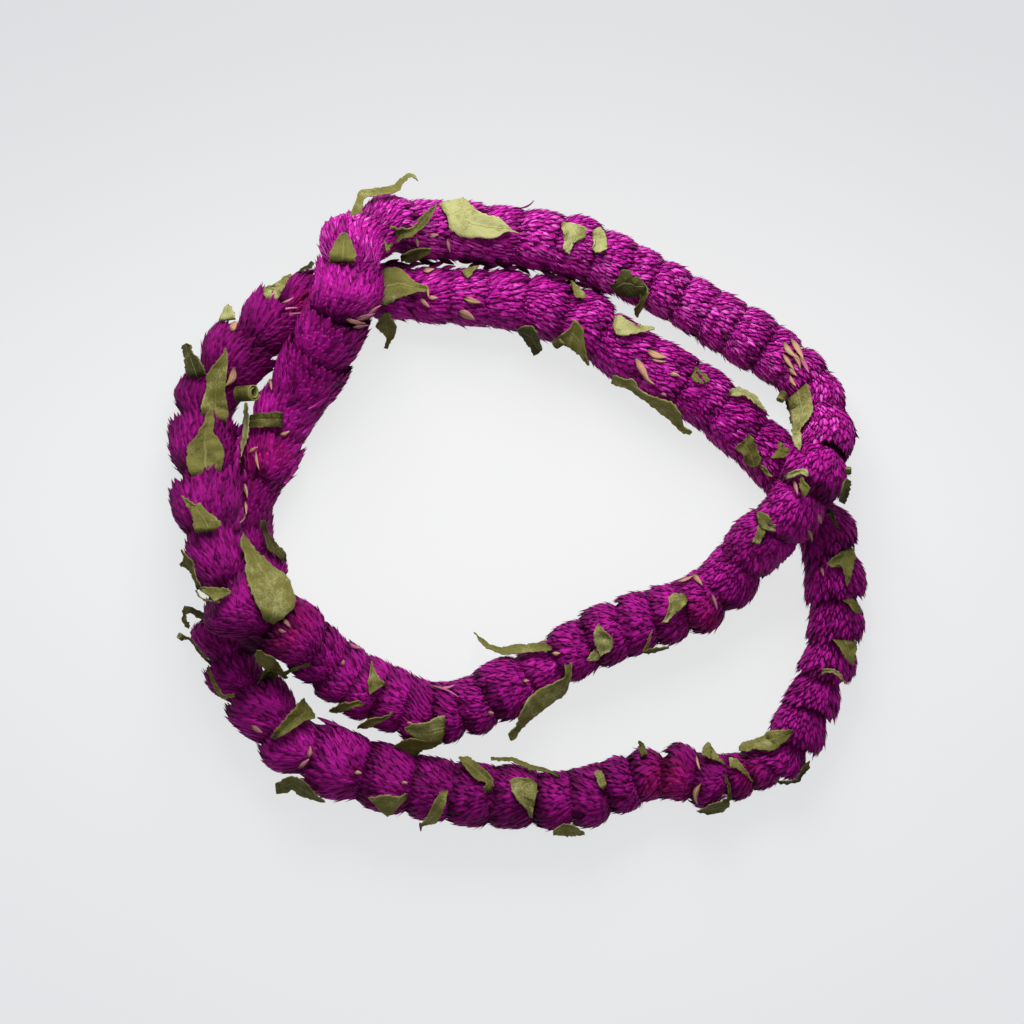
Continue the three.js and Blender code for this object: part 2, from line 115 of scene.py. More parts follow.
# One row for each flower head, in the order of the thread: x, y of its middle, how far it is lifted
# off the surface, and its radius.
TOP_OUTER = [
    (-41.5, 64.5, 11.5, 8.2),
    (-32.5, 70, 2.5, 7.3),
    (-23, 68.5, 0, 7.5),
    (-13.5, 68, 0, 7.5),
    (-4.5, 67, 0, 7.5),
    (5, 66, 0, 7.6),
    (15, 64, 0, 8),
    (22.5, 60.5, 0, 7.7),
    (30, 57, 0, 7.2),
    (37, 53.5, 0, 7),
    (44, 49.5, 0, 7),
    (50.5, 45.5, 0, 7.3),
    (57.5, 41.5, 0, 7.6),
    (64.5, 37, 0, 7),
    (70, 33, 0, 6.8),
    (75, 26.5, 1.5, 6.5),
    (77, 17, 8.5, 7),
]
RIGHT_CROSSING_OVER = [
    (73.5, 7, 15.5, 7.8),
    (68, -2.5, 14, 7.3),
    (59.5, -10, 5.5, 7.5),
    (52.5, -19, 0, 7.5),
]
BOTTOM_INNER = [
    (45, -25, 0, 7.7),
    (37.5, -27.5, 0, 7.5),
    (30, -29.5, 0, 7.7),
    (22, -32.5, 0, 7.7),
    (14, -36.5, 0, 7.2),
    (6.5, -41, 0, 6.3),
    (-4, -46.5, 0, 7.8),
    (-11.5, -50.5, 0, 7.5),
    (-18, -52, 0, 7.7),
    (-24.5, -52, 0, 8.2),
    (-31, -49, 0, 8.2),
    (-38, -46, 0, 8.2),
    (-44.5, -42, 0, 8),
    (-49.5, -38, 2.5, 7.7),
]
LEFT_CROSSING_OVER = [
    (-55, -32, 9.5, 8),
    (-70.6, -24.8, 15.5, 9.0),
    (-74, -14, 11.5, 8),
]
LEFT_OUTER = [
    (-77, -2, 8.2, 9),
    (-78.5, 13, 3, 8.4),
    (-78.5, 25, 0, 8),
    (-71.2, 36.4, 0, 9),
    (-62.6, 44.6, 0, 8.2),
    (-54, 51.5, 0, 6.5),
]
TOP_INNER = [
    (-43.5, 53.5, 0, 6.7),
    (-31, 53, 0, 7),
    (-21.5, 52, 0, 7),
    (-12, 51.5, 0, 7.2),
    (-2.5, 51, 0, 7.5),
    (7, 49, 0, 8),
    (16.5, 46, 0, 7.7),
    (26, 38.5, 0, 7.5),
    (36.5, 32.5, 0, 7.7),
    (46, 27, 0, 7.5),
    (54, 20.5, 0, 7.5),
    (62, 13, 0, 7.2),
    (69.5, 4, 0, 7),
]
RIGHT_SIDE = [
    (77, -6.5, 0, 7.5),
    (79, -18, 0, 7.8),
    (79.5, -29, 0, 7.1),
    (78, -38.5, 0, 7),
    (74.5, -47, 0, 6.8),
    (70.5, -55.5, 0, 7.2),
    (67, -63, 0, 6.3),
]
BOTTOM_OUTER = [
    (59.5, -66, 0, 5.6),
    (54.5, -68, 0, 5.8),
    (47.5, -69.5, 0, 6.8),
    (39.5, -66.5, 0, 7),
    (32, -67.5, 0, 6.5),
    (25.5, -70, 0, 7),
    (18, -73, 0, 7.6),
    (8.5, -74, 0, 7.1),
    (-1, -73, 0, 8),
    (-11.5, -72.5, 0, 8),
    (-22, -71, 0, 8),
    (-32.5, -68.5, 0, 8.5),
]
BOTTOM_LEFT = [
    (-44.5, -65, 0, 9),
    (-57, -60, 0, 7.8),
    (-64, -50.5, 0, 8.2),
    (-71, -42.5, 0, 7),
    (-74.5, -34, 0, 7.5),
]
LEFT_CROSSING_UNDER = [
    (-68, -25, 0, 7.2),
    (-64.2, -16.6, 0, 6.9),
    (-67.4, -8, 0, 6.3),
    (-67.2, 1, 0, 6.5),
]
LEFT_INNER = [
    (-62, 12, 0, 7.7),
    (-58.5, 22, 0, 8),
    (-52.2, 32, 1.5, 9),
    (-46.7, 42.5, 9.5, 8.6),
]
TOP_LEFT_CROSSING_OVER = [
    (-42, 53.2, 15.5, 8.7),
]

# How each stretch looks: how far its heads' tips spread over the next head (1) or are tucked under its
# round base (0), how deep the neck between two heads is (which also sets the painted shade at the neck), how
# uneven the heads are, how bright (painted light and shade, set stretch by stretch), how coarse their bracts
# are, and how much the bracts fan out from the top of the base.
STRETCHES = [
    (TOP_OUTER, 0.3, 0.04, 0.7, 1.65, 1.02, 0.2),
    (RIGHT_CROSSING_OVER, 0.05, 0.18, 0.8, 1.2, 1.15, 0.4),
    (BOTTOM_INNER, 0.35, 0.11, 0.8, 1.08, 1.12, 0.35),
    (LEFT_CROSSING_OVER, 0.35, 0.10, 0.8, 0.8, 1.3, 0.4),
    (LEFT_OUTER, 0.95, 0.19, 0.8, 0.58, 1.25, 0.25),
    (TOP_INNER, 0.3, 0.015, 0.7, 1.45, 1.06, 0.25),
    (RIGHT_SIDE, 0.8, 0.19, 0.8, 1.12, 1.1, 0.4),
    (BOTTOM_OUTER, 0.1, 0.08, 0.9, 0.78, 1.25, 0.6),
    (BOTTOM_LEFT, 0.5, 0.15, 0.9, 1.05, 1.5, 0.8),
    (LEFT_CROSSING_UNDER, 0.6, 0.12, 0.7, 0.75, 1.2, 0.3),
    (LEFT_INNER, 0.8, 0.10, 0.8, 1.1, 1.2, 0.3),
    (TOP_LEFT_CROSSING_OVER, 0.45, 0.0, 0.5, 1.3, 1.05, 0.2),
]
HEADS = [row for stretch, *_ in STRETCHES for row in stretch]
LOOKS = [look for stretch, *look in STRETCHES for _ in stretch]
COUNT = len(HEADS)

# Places where bracts are more red: x, y, radius, and how much.
RED_PLACES = [
    (-55, 49, 3.2, 0.6),
    (-57, -34, 4.0, 0.5),
    (-55, -30, 6.0, 0.35),
    (-62, 12, 5.0, 0.45),
    (-66, 10, 4.0, 0.6),
    (47, -27, 5.5, 0.5),
    (38, -68.5, 6.0, 0.6),
    (59, -66.5, 3.5, 0.5),
    (-66, 6.5, 3.0, 0.5),
]

# One row for each leaf: the number of the head it grows under, how pale it is (0 dark, 1 pale), how high
# its tip stands off, how far its sides roll up, and its two edges from root to tip, as x, y, x, y ... of
# points that were measured on the photograph.
LEAVES = [
    (
        1, 0.45, 0.8, 0.3,
        [332, 265, 331, 257, 334, 250, 338, 243, 343, 237, 347, 235],
        [357, 265, 358, 257, 355, 250, 353, 244, 350, 238, 347, 235],
    ),
    (
        2, 0.62, 4.5, 0.5,
        [
            350, 223, 353, 212, 356, 205, 360, 192, 372, 190, 385, 189,
            395, 186, 404, 177, 411, 173, 416, 176, 418, 182,
        ],
        [
            363, 222, 364, 208, 365, 199, 371, 198, 380, 197, 391, 195,
            401, 192, 402, 186, 410, 178, 414, 178, 418, 182,
        ],
    ),
    (
        2, 0.3, 3.2, 0.9,
        [377, 231, 386, 229, 391, 228, 399, 230, 408, 231, 414, 229, 420, 221, 428, 212, 437, 206],
        [380, 236, 386, 245, 387, 256, 394, 248, 402, 241, 412, 239, 420, 232, 428, 226, 437, 207],
    ),
    (3, 0.2, 0.4, 0.5, [401, 257, 410, 252, 420, 249, 432, 250], [402, 263, 412, 264, 422, 260, 432, 253]),
    (
        4, 0.95, 0.5, 0.25,
        [439, 207, 445, 202, 456, 201, 464, 198, 470, 205, 477, 211, 487, 217, 500, 219, 507, 227, 519, 235],
        [444, 211, 449, 222, 450, 231, 461, 238, 470, 240, 481, 239, 490, 241, 498, 239, 505, 233, 519, 235],
    ),
    (
        7, 0.85, 0.5, 0.3,
        [562, 224, 570, 224, 578, 226, 587, 229, 586, 236, 583, 240, 577, 242, 572, 246, 569, 256],
        [561, 228, 563, 235, 564, 243, 562, 250, 569, 256],
    ),
    (
        8, 0.85, 0.4, 0.3,
        [592, 232, 597, 229, 602, 230, 605, 237, 607, 250],
        [593, 240, 593, 252, 597, 255, 607, 250],
    ),
    (
        9, 0.04, 0.6, -0.4,
        [609, 286, 615, 283, 619, 277, 621, 271, 629, 271, 632, 277, 639, 279, 643, 283, 645, 288],
        [611, 289, 614, 292, 620, 297, 628, 299, 642, 298, 645, 288],
    ),
    (
        9, 0.3, 0.8, 0.8,
        [644, 284, 648, 292, 646, 300, 642, 308, 638, 318],
        [639, 296, 639, 304, 633, 311, 636, 318],
    ),
    (
        16, 0.78, 2.4, 0.4,
        [805, 384, 809, 393, 811, 404, 810, 415, 804, 422, 798, 431, 799, 438, 797, 451],
        [787, 400, 789, 412, 791, 425, 790, 438, 792, 445, 796, 451],
    ),
    (16, 0.05, 0.2, 0.3, [790, 397, 790, 410, 790, 424], [784, 401, 788, 412, 789, 424]),
    (
        18, 0.8, 0.7, 0.7,
        [782, 476, 788, 472, 796, 469, 805, 471, 805, 476],
        [784, 480, 790, 478, 797, 474, 804, 477],
    ),
    (18, 0.55, 0.6, 0.6, [799, 475, 802, 484, 808, 489, 801, 498], [797, 476, 796, 486, 798, 492, 801, 498]),
    (18, 0.15, 1.2, 0.9, [836, 501, 838, 492, 842, 478, 848, 482], [842, 504, 846, 496, 847, 488, 848, 482]),
    (
        20, 0.72, 1.2, 0.2,
        [780, 531, 774, 525, 768, 519, 762, 512, 756, 512],
        [780, 533, 770, 531, 762, 530, 757, 524, 755, 515],
    ),
    (20, 0.65, 1.2, 0.2, [758, 519, 756, 528, 753, 536, 750, 542], [765, 524, 763, 533, 760, 539, 757, 544]),
    (
        23, 0.72, 0.5, 0.3,
        [687, 600, 684, 605, 677, 611, 671, 616, 667, 622, 661, 622],
        [684, 594, 674, 592, 667, 597, 669, 603, 667, 609, 664, 617, 661, 622],
    ),
    (24, 0.6, 0.4, 0.6, [652, 630, 650, 638, 647, 648, 642, 651], [651, 630, 647, 640, 645, 646, 642, 651]),
    (24, 0.4, 0.5, 0.5, [668, 646, 656, 647, 648, 649, 642, 651], [668, 648, 656, 651, 648, 654, 642, 652]),
    (
        25, 0.78, 0.5, 0.25,
        [597, 624, 594, 630, 593, 638, 595, 646, 599, 653, 600, 656],
        [599, 624, 605, 631, 613, 638, 612, 646, 610, 651, 603, 653, 600, 656],
    ),
    (25, 0.7, 0.4, 0.3, [593, 649, 590, 653, 587, 659], [597, 651, 600, 656, 598, 660, 587, 660]),
    (
        27, 0.55, 1.5, 0.7,
        [551, 646, 545, 642, 531, 643, 516, 644, 504, 647, 490, 645, 484, 639, 474, 632],
        [552, 649, 543, 652, 531, 651, 516, 653, 504, 654, 492, 650, 482, 644, 474, 633],
    ),
    (
        27, 0.68, 4.5, 0.4,
        [564, 662, 565, 677, 549, 684, 537, 689, 528, 697, 521, 711, 516, 726, 508, 732, 510, 739],
        [572, 662, 571, 677, 567, 693, 556, 700, 541, 711, 526, 723, 519, 730, 517, 738, 511, 740],
    ),
    (
        31, 0.65, 0.5, 0.35,
        [446, 720, 445, 714, 437, 715, 428, 722, 422, 722, 414, 722, 405, 727],
        [444, 733, 441, 740, 426, 741, 414, 736, 405, 728],
    ),
    (
        31, 0.4, 1.5, 0.6,
        [443, 740, 426, 740, 414, 737, 402, 740, 393, 746],
        [441, 743, 432, 747, 422, 750, 416, 756, 406, 756, 393, 748],
    ),
    (
        33, 0.6, 0.6, 0.4,
        [387, 683, 380, 677, 375, 668, 372, 660],
        [386, 684, 378, 688, 370, 695, 369, 686, 371, 670],
    ),
    (
        33, 0.4, 0.8, 0.6,
        [394, 710, 386, 716, 376, 716, 369, 718, 358, 726],
        [394, 712, 386, 719, 370, 727, 358, 728],
    ),
    (
        34, 0.45, 0.8, 0.5,
        [366, 703, 360, 699, 352, 702, 344, 701, 330, 709],
        [366, 704, 356, 706, 340, 712, 330, 711],
    ),
    (
        36, 0.4, 1.0, 0.5,
        [289, 677, 284, 669, 280, 663, 275, 656, 268, 654, 263, 649, 259, 649],
        [286, 678, 276, 671, 268, 669, 262, 664, 257, 659, 259, 649],
    ),
    (36, 0.3, 0.5, 0.3, [282, 673, 292, 668, 302, 664, 311, 662], [285, 676, 293, 671, 303, 667, 311, 665]),
    (
        36, 0.1, 0.3, 0.5,
        [282, 669, 272, 668, 266, 668, 262, 676, 257, 687],
        [283, 672, 276, 677, 268, 681, 257, 687],
    ),
    (
        37, 0.62, 0.8, 0.35,
        [268, 620, 262, 607, 258, 600, 254, 590, 251, 583, 248, 570, 249, 562, 244, 547, 243, 538, 246, 533],
        [
            276, 623, 288, 615, 293, 611, 297, 605, 298, 598, 292, 582, 288, 573, 278, 569, 268, 559,
            262, 553, 255, 547, 250, 538, 246, 533,
        ],
    ),
    (
        38, 0.3, 1.5, 0.6,
        [200, 589, 197, 580, 193, 572, 190, 568, 181, 565, 184, 562, 187, 560, 184, 549],
        [205, 587, 200, 578, 197, 570, 197, 563, 193, 558, 187, 553, 184, 549],
    ),
    (
        38, 0.6, 0.5, 0.6,
        [201, 587, 215, 586, 228, 587, 234, 590],
        [203, 589, 212, 595, 218, 600, 225, 598, 234, 591],
    ),
    (38, 0.5, 0.4, 0.3, [198, 590, 202, 597, 208, 600, 223, 600], [200, 590, 203, 596, 208, 598, 223, 602]),
    (
        39, 0.55, 0.6, 0.35,
        [201, 533, 197, 530, 196, 520, 194, 512, 190, 506, 187, 501, 184, 496],
        [217, 530, 225, 526, 220, 518, 212, 513, 206, 507, 202, 502, 199, 506, 190, 499, 184, 496],
    ),
    (
        40, 0.45, 1.5, 0.35,
        [195, 478, 190, 468, 188, 460, 190, 452, 189, 446, 196, 440, 202, 431, 205, 425, 208, 417, 211, 409],
        [222, 473, 226, 460, 226, 450, 224, 445, 219, 438, 214, 431, 217, 425, 215, 412, 213, 409],
    ),
    (
        41, 0.62, 0.6, 0.4,
        [
            203, 416, 203, 410, 204, 402, 206, 395, 209, 388, 208, 380,
            210, 373, 214, 368, 220, 361, 225, 354, 227, 349,
        ],
        [228, 423, 230, 412, 228, 400, 227, 390, 228, 380, 229, 370, 230, 358, 229, 352, 227, 349],
    ),
    (
        42, 0.1, 0.8, 0.5,
        [191, 378, 187, 372, 185, 356, 183, 347, 187, 344],
        [208, 377, 206, 369, 200, 358, 193, 353, 193, 346, 187, 344],
    ),
    (43, 1.0, 1.2, -0.3, [220, 322, 223, 314, 226, 308, 230, 305], [237, 320, 235, 313, 233, 308, 230, 305]),
    (
        44, 0.7, 1.5, 0.6,
        [267, 301, 264, 289, 268, 287, 273, 286, 280, 282, 286, 277, 292, 275],
        [278, 303, 281, 296, 285, 289, 289, 281, 292, 275],
    ),
    (44, 0.0, 0.5, 0.4, [299, 273, 303, 268, 308, 267, 312, 262], [302, 274, 305, 270, 311, 270, 315, 264]),
    (
        46, 0.55, 0.8, 0.3,
        [380, 276, 386, 269, 396, 269, 402, 270, 408, 276, 414, 282, 424, 286, 428, 290],
        [381, 300, 383, 307, 394, 303, 400, 298, 410, 296, 418, 293, 424, 294, 428, 291],
    ),
    (
        46, 0.35, 2.0, 0.4,
        [386, 312, 380, 321, 375, 327, 382, 333, 387, 338, 386, 343, 384, 348],
        [388, 312, 393, 320, 397, 327, 397, 331, 394, 338, 390, 344, 388, 349],
    ),
    (48, 0.55, 0.3, 0.4, [461, 272, 468, 269, 479, 266], [466, 278, 470, 279, 474, 272, 479, 267]),
    (
        50, 0.15, 1.5, 0.5,
        [517, 331, 524, 327, 533, 327, 538, 336, 542, 350],
        [520, 336, 528, 345, 534, 357, 542, 351],
    ),
    (
        51, 0.5, 1.0, 0.5,
        [555, 341, 563, 334, 570, 329, 574, 320, 580, 326, 583, 332, 584, 342, 586, 357, 589, 366],
        [556, 345, 567, 347, 575, 353, 581, 358, 587, 366],
    ),
    (51, 0.6, 0.5, 0.5, [570, 281, 575, 284, 580, 290, 587, 297], [573, 292, 574, 298, 580, 300, 587, 298]),
    (
        52, 0.92, 0.8, 0.35,
        [614, 317, 619, 316, 624, 319, 630, 322, 634, 326, 642, 326, 654, 328],
        [612, 327, 614, 334, 620, 337, 628, 336, 641, 333, 654, 330],
    ),
    (
        53, 0.6, 1.6, 0.5,
        [613, 376, 625, 380, 634, 380, 638, 390, 652, 397, 669, 402, 676, 407, 680, 416, 683, 426, 691, 432],
        [
            611, 384, 616, 387, 625, 388, 634, 394, 645, 402, 655, 409,
            663, 415, 672, 424, 680, 432, 687, 435, 691, 433,
        ],
    ),
    (54, 0.5, 1.4, 0.2, [692, 366, 699, 370, 705, 376, 709, 381], [693, 370, 698, 373, 702, 378, 705, 384]),
    (54, 0.6, 1.4, 0.2, [691, 376, 691, 381, 697, 383, 703, 384], [693, 371, 696, 375, 699, 380, 703, 384]),
    (
        55, 0.85, 1.0, 0.6,
        [727, 395, 731, 389, 738, 387, 746, 391, 755, 396, 766, 412],
        [728, 397, 744, 396, 764, 412],
    ),
    (
        56, 0.3, 0.5, 0.3,
        [747, 434, 751, 437, 755, 446, 760, 460, 757, 467],
        [744, 441, 733, 448, 742, 455, 743, 463, 752, 468],
    ),
    (56, 0.5, 0.5, 0.3, [778, 441, 784, 447, 792, 452], [777, 444, 775, 453, 768, 459, 786, 458, 792, 453]),
    (56, 0.6, 0.3, 0.3, [759, 465, 764, 467, 771, 477], [760, 469, 766, 476, 771, 477]),
    (58, 0.15, 0.3, 0.3, [826, 510, 832, 512, 834, 520, 837, 529], [825, 512, 829, 518, 833, 525, 837, 529]),
    (
        59, 0.5, 0.5, 0.4,
        [853, 548, 854, 557, 851, 569, 848, 581, 845, 586],
        [838, 552, 824, 563, 830, 567, 837, 563, 841, 567, 845, 586],
    ),
    (60, 0.4, 0.5, 0.3, [851, 598, 856, 602, 860, 612], [841, 600, 849, 606, 853, 612, 860, 612]),
    (61, 0.45, 0.5, 0.3, [855, 641, 855, 650, 852, 665], [831, 639, 838, 647, 845, 660, 852, 665]),
    (62, 0.78, 0.5, 0.5, [821, 668, 832, 668, 838, 671, 845, 683], [820, 675, 824, 671, 831, 672, 845, 683]),
    (
        64, 0.6, 0.6, 0.35,
        [792, 729, 778, 729, 768, 730, 762, 735, 750, 740, 741, 742, 738, 746],
        [791, 733, 785, 740, 774, 749, 762, 749, 752, 748, 746, 751, 738, 749],
    ),
    (
        64, 0.05, 0.8, 0.4,
        [809, 760, 808, 769, 802, 773, 799, 781, 784, 784, 773, 780],
        [803, 764, 795, 779, 780, 780],
    ),
    (66, 0.65, 0.4, 0.4, [752, 781, 747, 775, 740, 770, 729, 765], [752, 780, 744, 768, 736, 757, 728, 757]),
    (
        67, 0.6, 1.5, 0.35,
        [725, 764, 718, 760, 712, 758, 702, 754],
        [724, 762, 718, 757, 713, 748, 708, 741, 703, 745, 701, 753],
    ),
    (
        67, 0.25, 0.8, 0.5,
        [724, 773, 728, 781, 730, 795, 729, 805, 722, 811, 706, 814, 696, 810],
        [723, 775, 727, 788, 727, 796, 720, 800, 710, 803, 696, 810],
    ),
    (69, 0.3, 0.8, 0.5, [647, 754, 643, 742, 639, 740], [641, 756, 638, 748, 638, 740]),
    (71, 0.7, 0.4, 0.3, [602, 788, 598, 783, 594, 771], [604, 787, 606, 781, 601, 769, 595, 770]),
    (72, 0.55, 0.5, 0.4, [584, 831, 574, 824, 563, 822, 553, 829], [584, 834, 570, 835, 553, 834]),
    (
        73, 0.62, 0.6, 0.3,
        [537, 783, 537, 790, 534, 803, 532, 816],
        [531, 777, 516, 776, 510, 779, 512, 789, 518, 799, 526, 807, 530, 816],
    ),
    (
        73, 0.5, 1.2, 0.7,
        [560, 774, 545, 767, 531, 764, 516, 757, 491, 756],
        [559, 776, 545, 770, 531, 769, 512, 760, 491, 759],
    ),
    (
        74, 0.4, 0.8, 0.6,
        [485, 791, 484, 785, 487, 781, 477, 779, 467, 768, 459, 757],
        [492, 790, 494, 779, 488, 770, 477, 762, 467, 755, 459, 756],
    ),
    (
        75, 0.62, 0.6, 0.4,
        [441, 790, 435, 799, 429, 813, 421, 823],
        [448, 789, 447, 799, 443, 811, 437, 822, 421, 825],
    ),
    (76, 0.62, 0.5, 0.3, [408, 792, 398, 795, 388, 793, 369, 796], [407, 797, 398, 807, 388, 816, 376, 804]),
    (
        78, 0.35, 0.8, 0.4,
        [326, 801, 318, 794, 305, 780, 298, 775, 290, 775, 276, 783],
        [322, 801, 310, 798, 297, 793, 294, 788, 287, 792, 277, 793],
    ),
    (
        79, 0.42, 1.5, 1.0,
        [272, 736, 279, 727, 286, 718, 294, 709, 300, 701, 305, 697],
        [277, 738, 286, 733, 300, 724, 307, 719, 317, 717, 313, 709, 306, 702],
    ),
    (
        80, 0.3, 0.6, 0.3,
        [212, 665, 200, 653, 192, 640, 183, 638, 179, 637],
        [212, 661, 202, 650, 194, 638, 185, 635, 180, 634],
    ),
    (
        80, 0.5, 0.6, 0.3,
        [208, 667, 212, 680, 218, 691, 224, 698, 236, 697],
        [211, 667, 216, 680, 222, 690, 227, 694, 236, 693],
    ),
    (
        81, 0.15, 1.0, 0.5,
        [226, 616, 216, 615, 208, 613, 200, 610, 192, 606, 185, 606, 183, 612, 183, 620, 186, 626, 190, 628],
        [226, 620, 216, 619, 205, 619, 198, 617, 194, 613, 189, 612, 187, 614, 187, 619, 191, 625],
    ),
    (
        84, 0.05, 1.0, 0.5,
        [285, 561, 275, 553, 269, 550, 267, 540, 262, 527, 262, 520],
        [288, 561, 285, 551, 277, 543, 270, 533, 266, 520],
    ),
    (
        87, 0.12, 0.8, 0.4,
        [284, 413, 275, 412, 268, 414, 258, 413, 251, 416],
        [284, 428, 275, 427, 262, 428, 251, 428],
    ),
    (
        87, 0.9, 1.5, 0.6,
        [235, 473, 237, 462, 241, 448, 244, 436, 244, 424, 245, 414, 246, 403],
        [237, 473, 241, 460, 245, 450, 249, 438, 250, 426, 250, 415, 248, 403],
    ),
]

# One row for each rolled leaf: the number of its head, how pale it is, x, y of its two ends on the
# photograph, how far the far end stands up, and its radius on the photograph.
ROLLED = [
    (42, 0.12, 240, 394, 256, 393, 3.4, 8.5),
    (16, 0.1, 783, 394, 779, 401, 1.2, 4),
    (51, 0.05, 555, 345, 563, 340, 1.5, 5),
    (18, 0.0, 845, 474, 845, 468, 0.6, 3),
    (80, 0.2, 184, 638, 180, 635, 0.8, 3),
]

# One row for each odd bract: x, y of its middle on the photograph, the way it points in degrees, its
# length and width there, and how pale it has dried (0 purple, 1 tan); below 0 it is how dark the bract is
# painted, as painted shade in the dark gaps between strands.
ODD_BRACTS = [
    (234, 379, -115, 20, 9, 1.0),
    (434, 237, 10, 10, 5, 0.8),
    (429, 271, 10, 11, 6, 0.8),
    (428, 292, -80, 13, 4, 0.9),
    (433, 299, -5, 10, 5, 0.9),
    (425, 304, -45, 13, 5, 0.8),
    (472, 302, -15, 18, 8, 1.0),
    (467, 316, -25, 18, 10, 0.8),
    (449, 247, -80, 14, 4, 0.6),
    (418, 244, -80, 9, 5, 0.6),
    (656, 356, -20, 21, 9, 1.0),
    (658, 362, -10, 15, 3, 0.7),
    (642, 371, -60, 27, 9, 0.9),
    (646, 379, -50, 20, 6, 0.9),
    (674, 375, -10, 11, 5, 0.8),
    (663, 395, -20, 6, 4, 0.6),
    (272, 385, -80, 11, 4, 0.8),
    (286, 434, 20, 11, 5, 0.9),
    (254, 450, 35, 11, 4, 1.0),
    (258, 461, -80, 19, 3, 0.9),
    (247, 490, -75, 17, 5, 0.9),
    (248, 508, -85, 13, 3, 0.9),
    (245, 519, -120, 12, 3, 0.9),
    (289, 622, -50, 11, 5, 0.7),
    (284, 630, -20, 8, 4, 0.7),
    (322, 645, 60, 9, 5, 0.6),
    (305, 659, 10, 6, 5, 0.5),
    (322, 659, 10, 5, 5, 0.7),
    (344, 662, 80, 6, 4, 0.8),
    (788, 352, -50, 20, 7, 1.0),
    (797, 350, -60, 24, 7, 0.9),
    (787, 363, -55, 20, 6, 1.0),
    (796, 360, -60, 20, 6, 0.9),
    (791, 372, -60, 12, 6, 1.0),
    (803, 364, -65, 22, 6, 0.4),
    (791, 382, -60, 12, 5, 1.0),
    (359, 771, 0, 7, 5, 0.9),
    (405, 781, 0, 6, 4, 0.7),
    (410, 722, 0, 6, 4, 0.8),
    (491, 712, 0, 6, 5, 0.8),
    (556, 653, 0, 8, 5, 0.9),
    (526, 680, 0, 6, 4, 0.8),
    (311, 751, 80, 12, 6, 0.8),
    (305, 762, 40, 14, 6, 0.6),
    (695, 792, -100, 21, 7, 1.0),
    (697, 762, -75, 14, 3, 0.9),
    (723, 795, 10, 6, 5, 0.4),
    (235, 327, 60, 12, 8, 0.95),
    (289, 302, 25, 13, 3, 0.6),
    (286, 310, 12, 26, 3, 0.5),
    (292, 315, 8, 28, 3, 0.35),
    (357, 324, -12, 20, 5, 0.75),
    (366, 319, 20, 22, 5, 0.6),
    (374, 313, 45, 20, 4, 0.5),
    (362, 328, 10, 16, 4, 0.6),
    (685, 579, 20, 17, 4, 0.9),
    (697, 579, -50, 15, 6, 0.9),
    (714, 601, -70, 17, 4, 0.5),
    (808, 535, -65, 13, 5, 0.8),
    (817, 519, -75, 10, 5, 0.5),
    (821, 571, -75, 9, 4, 0.6),
    (793, 488, -75, 14, 5, 0.7),
    (258, 728, -35, 13, 6, 0.7),
    (446, 687, 10, 18, 4, 0.4),
    (320, 404, -148, 24, 4, 0.0),
    (308, 430, -145, 11, 4, 0.0),
    (294, 471, -120, 12, 4, 0.0),
    (288, 481, -130, 8, 3, 0.0),
    (331, 722, -20, 28, 4, -0.6),
    (250, 641, 165, 20, 9, -0.95),
    (257, 646, 165, 20, 9, -0.95),
    (250, 650, 170, 18, 9, -0.95),
    (260, 638, 160, 18, 8, -0.95),
    (241, 431, 80, 18, 8, -0.7),
    (240, 443, 80, 18, 8, -0.6),
    (239, 455, 80, 18, 8, -0.6),
    (238, 466, 80, 16, 7, -0.6),
    (246, 478, 80, 16, 7, -0.6),
    (243, 516, 80, 18, 8, -0.7),
    (240, 524, 80, 16, 8, -0.7),
    (528, 207, 30, 16, 2, -0.8),
    (421, 826, -85, 9, 3, -0.8),
    (569, 236, 10, 10, 2, -0.7),
    (444, 688, -20, 34, 3, 0.3),
    (355, 646, -25, 14, 5, 0.3),
    (392, 263, 20, 16, 6, -1),
    (403, 266, -10, 18, 6, -1),
    (415, 265, 15, 18, 6, -0.9),
    (427, 263, -15, 18, 6, -1),
    (438, 265, 20, 18, 6, -0.9),
    (447, 262, -20, 16, 6, -1),
    (449, 268, 10, 14, 5, -0.8),
    (468, 262, 0, 18, 6, -1),
    (474, 266, 25, 16, 6, -0.9),
    (484, 264, -20, 18, 6, -1),
    (491, 267, 10, 16, 6, -0.9),
    (503, 266, -30, 18, 6, -1),
    (513, 269, 5, 18, 6, -0.9),
    (524, 270, -30, 16, 6, -1),
    (549, 275, -25, 18, 6, -1),
    (560, 279, 0, 18, 6, -0.9),
    (571, 281, -35, 16, 6, -1),
    (584, 286, -20, 18, 6, -0.9),
    (596, 291, -40, 16, 5, -1),
]


def length_setting(name, description, default, least=0.0):
    """A length in metres for the sidebar."""
    return FloatProperty(
        name=name,
        description=description,
        default=default,
        min=least,
        unit="LENGTH",
        precision=5,
    )


def colour_setting(name, description, default):
    """A colour for the sidebar."""
    return FloatVectorProperty(
        name=name,
        description=description,
        default=default,
        subtype="COLOR",
        size=4,
    )


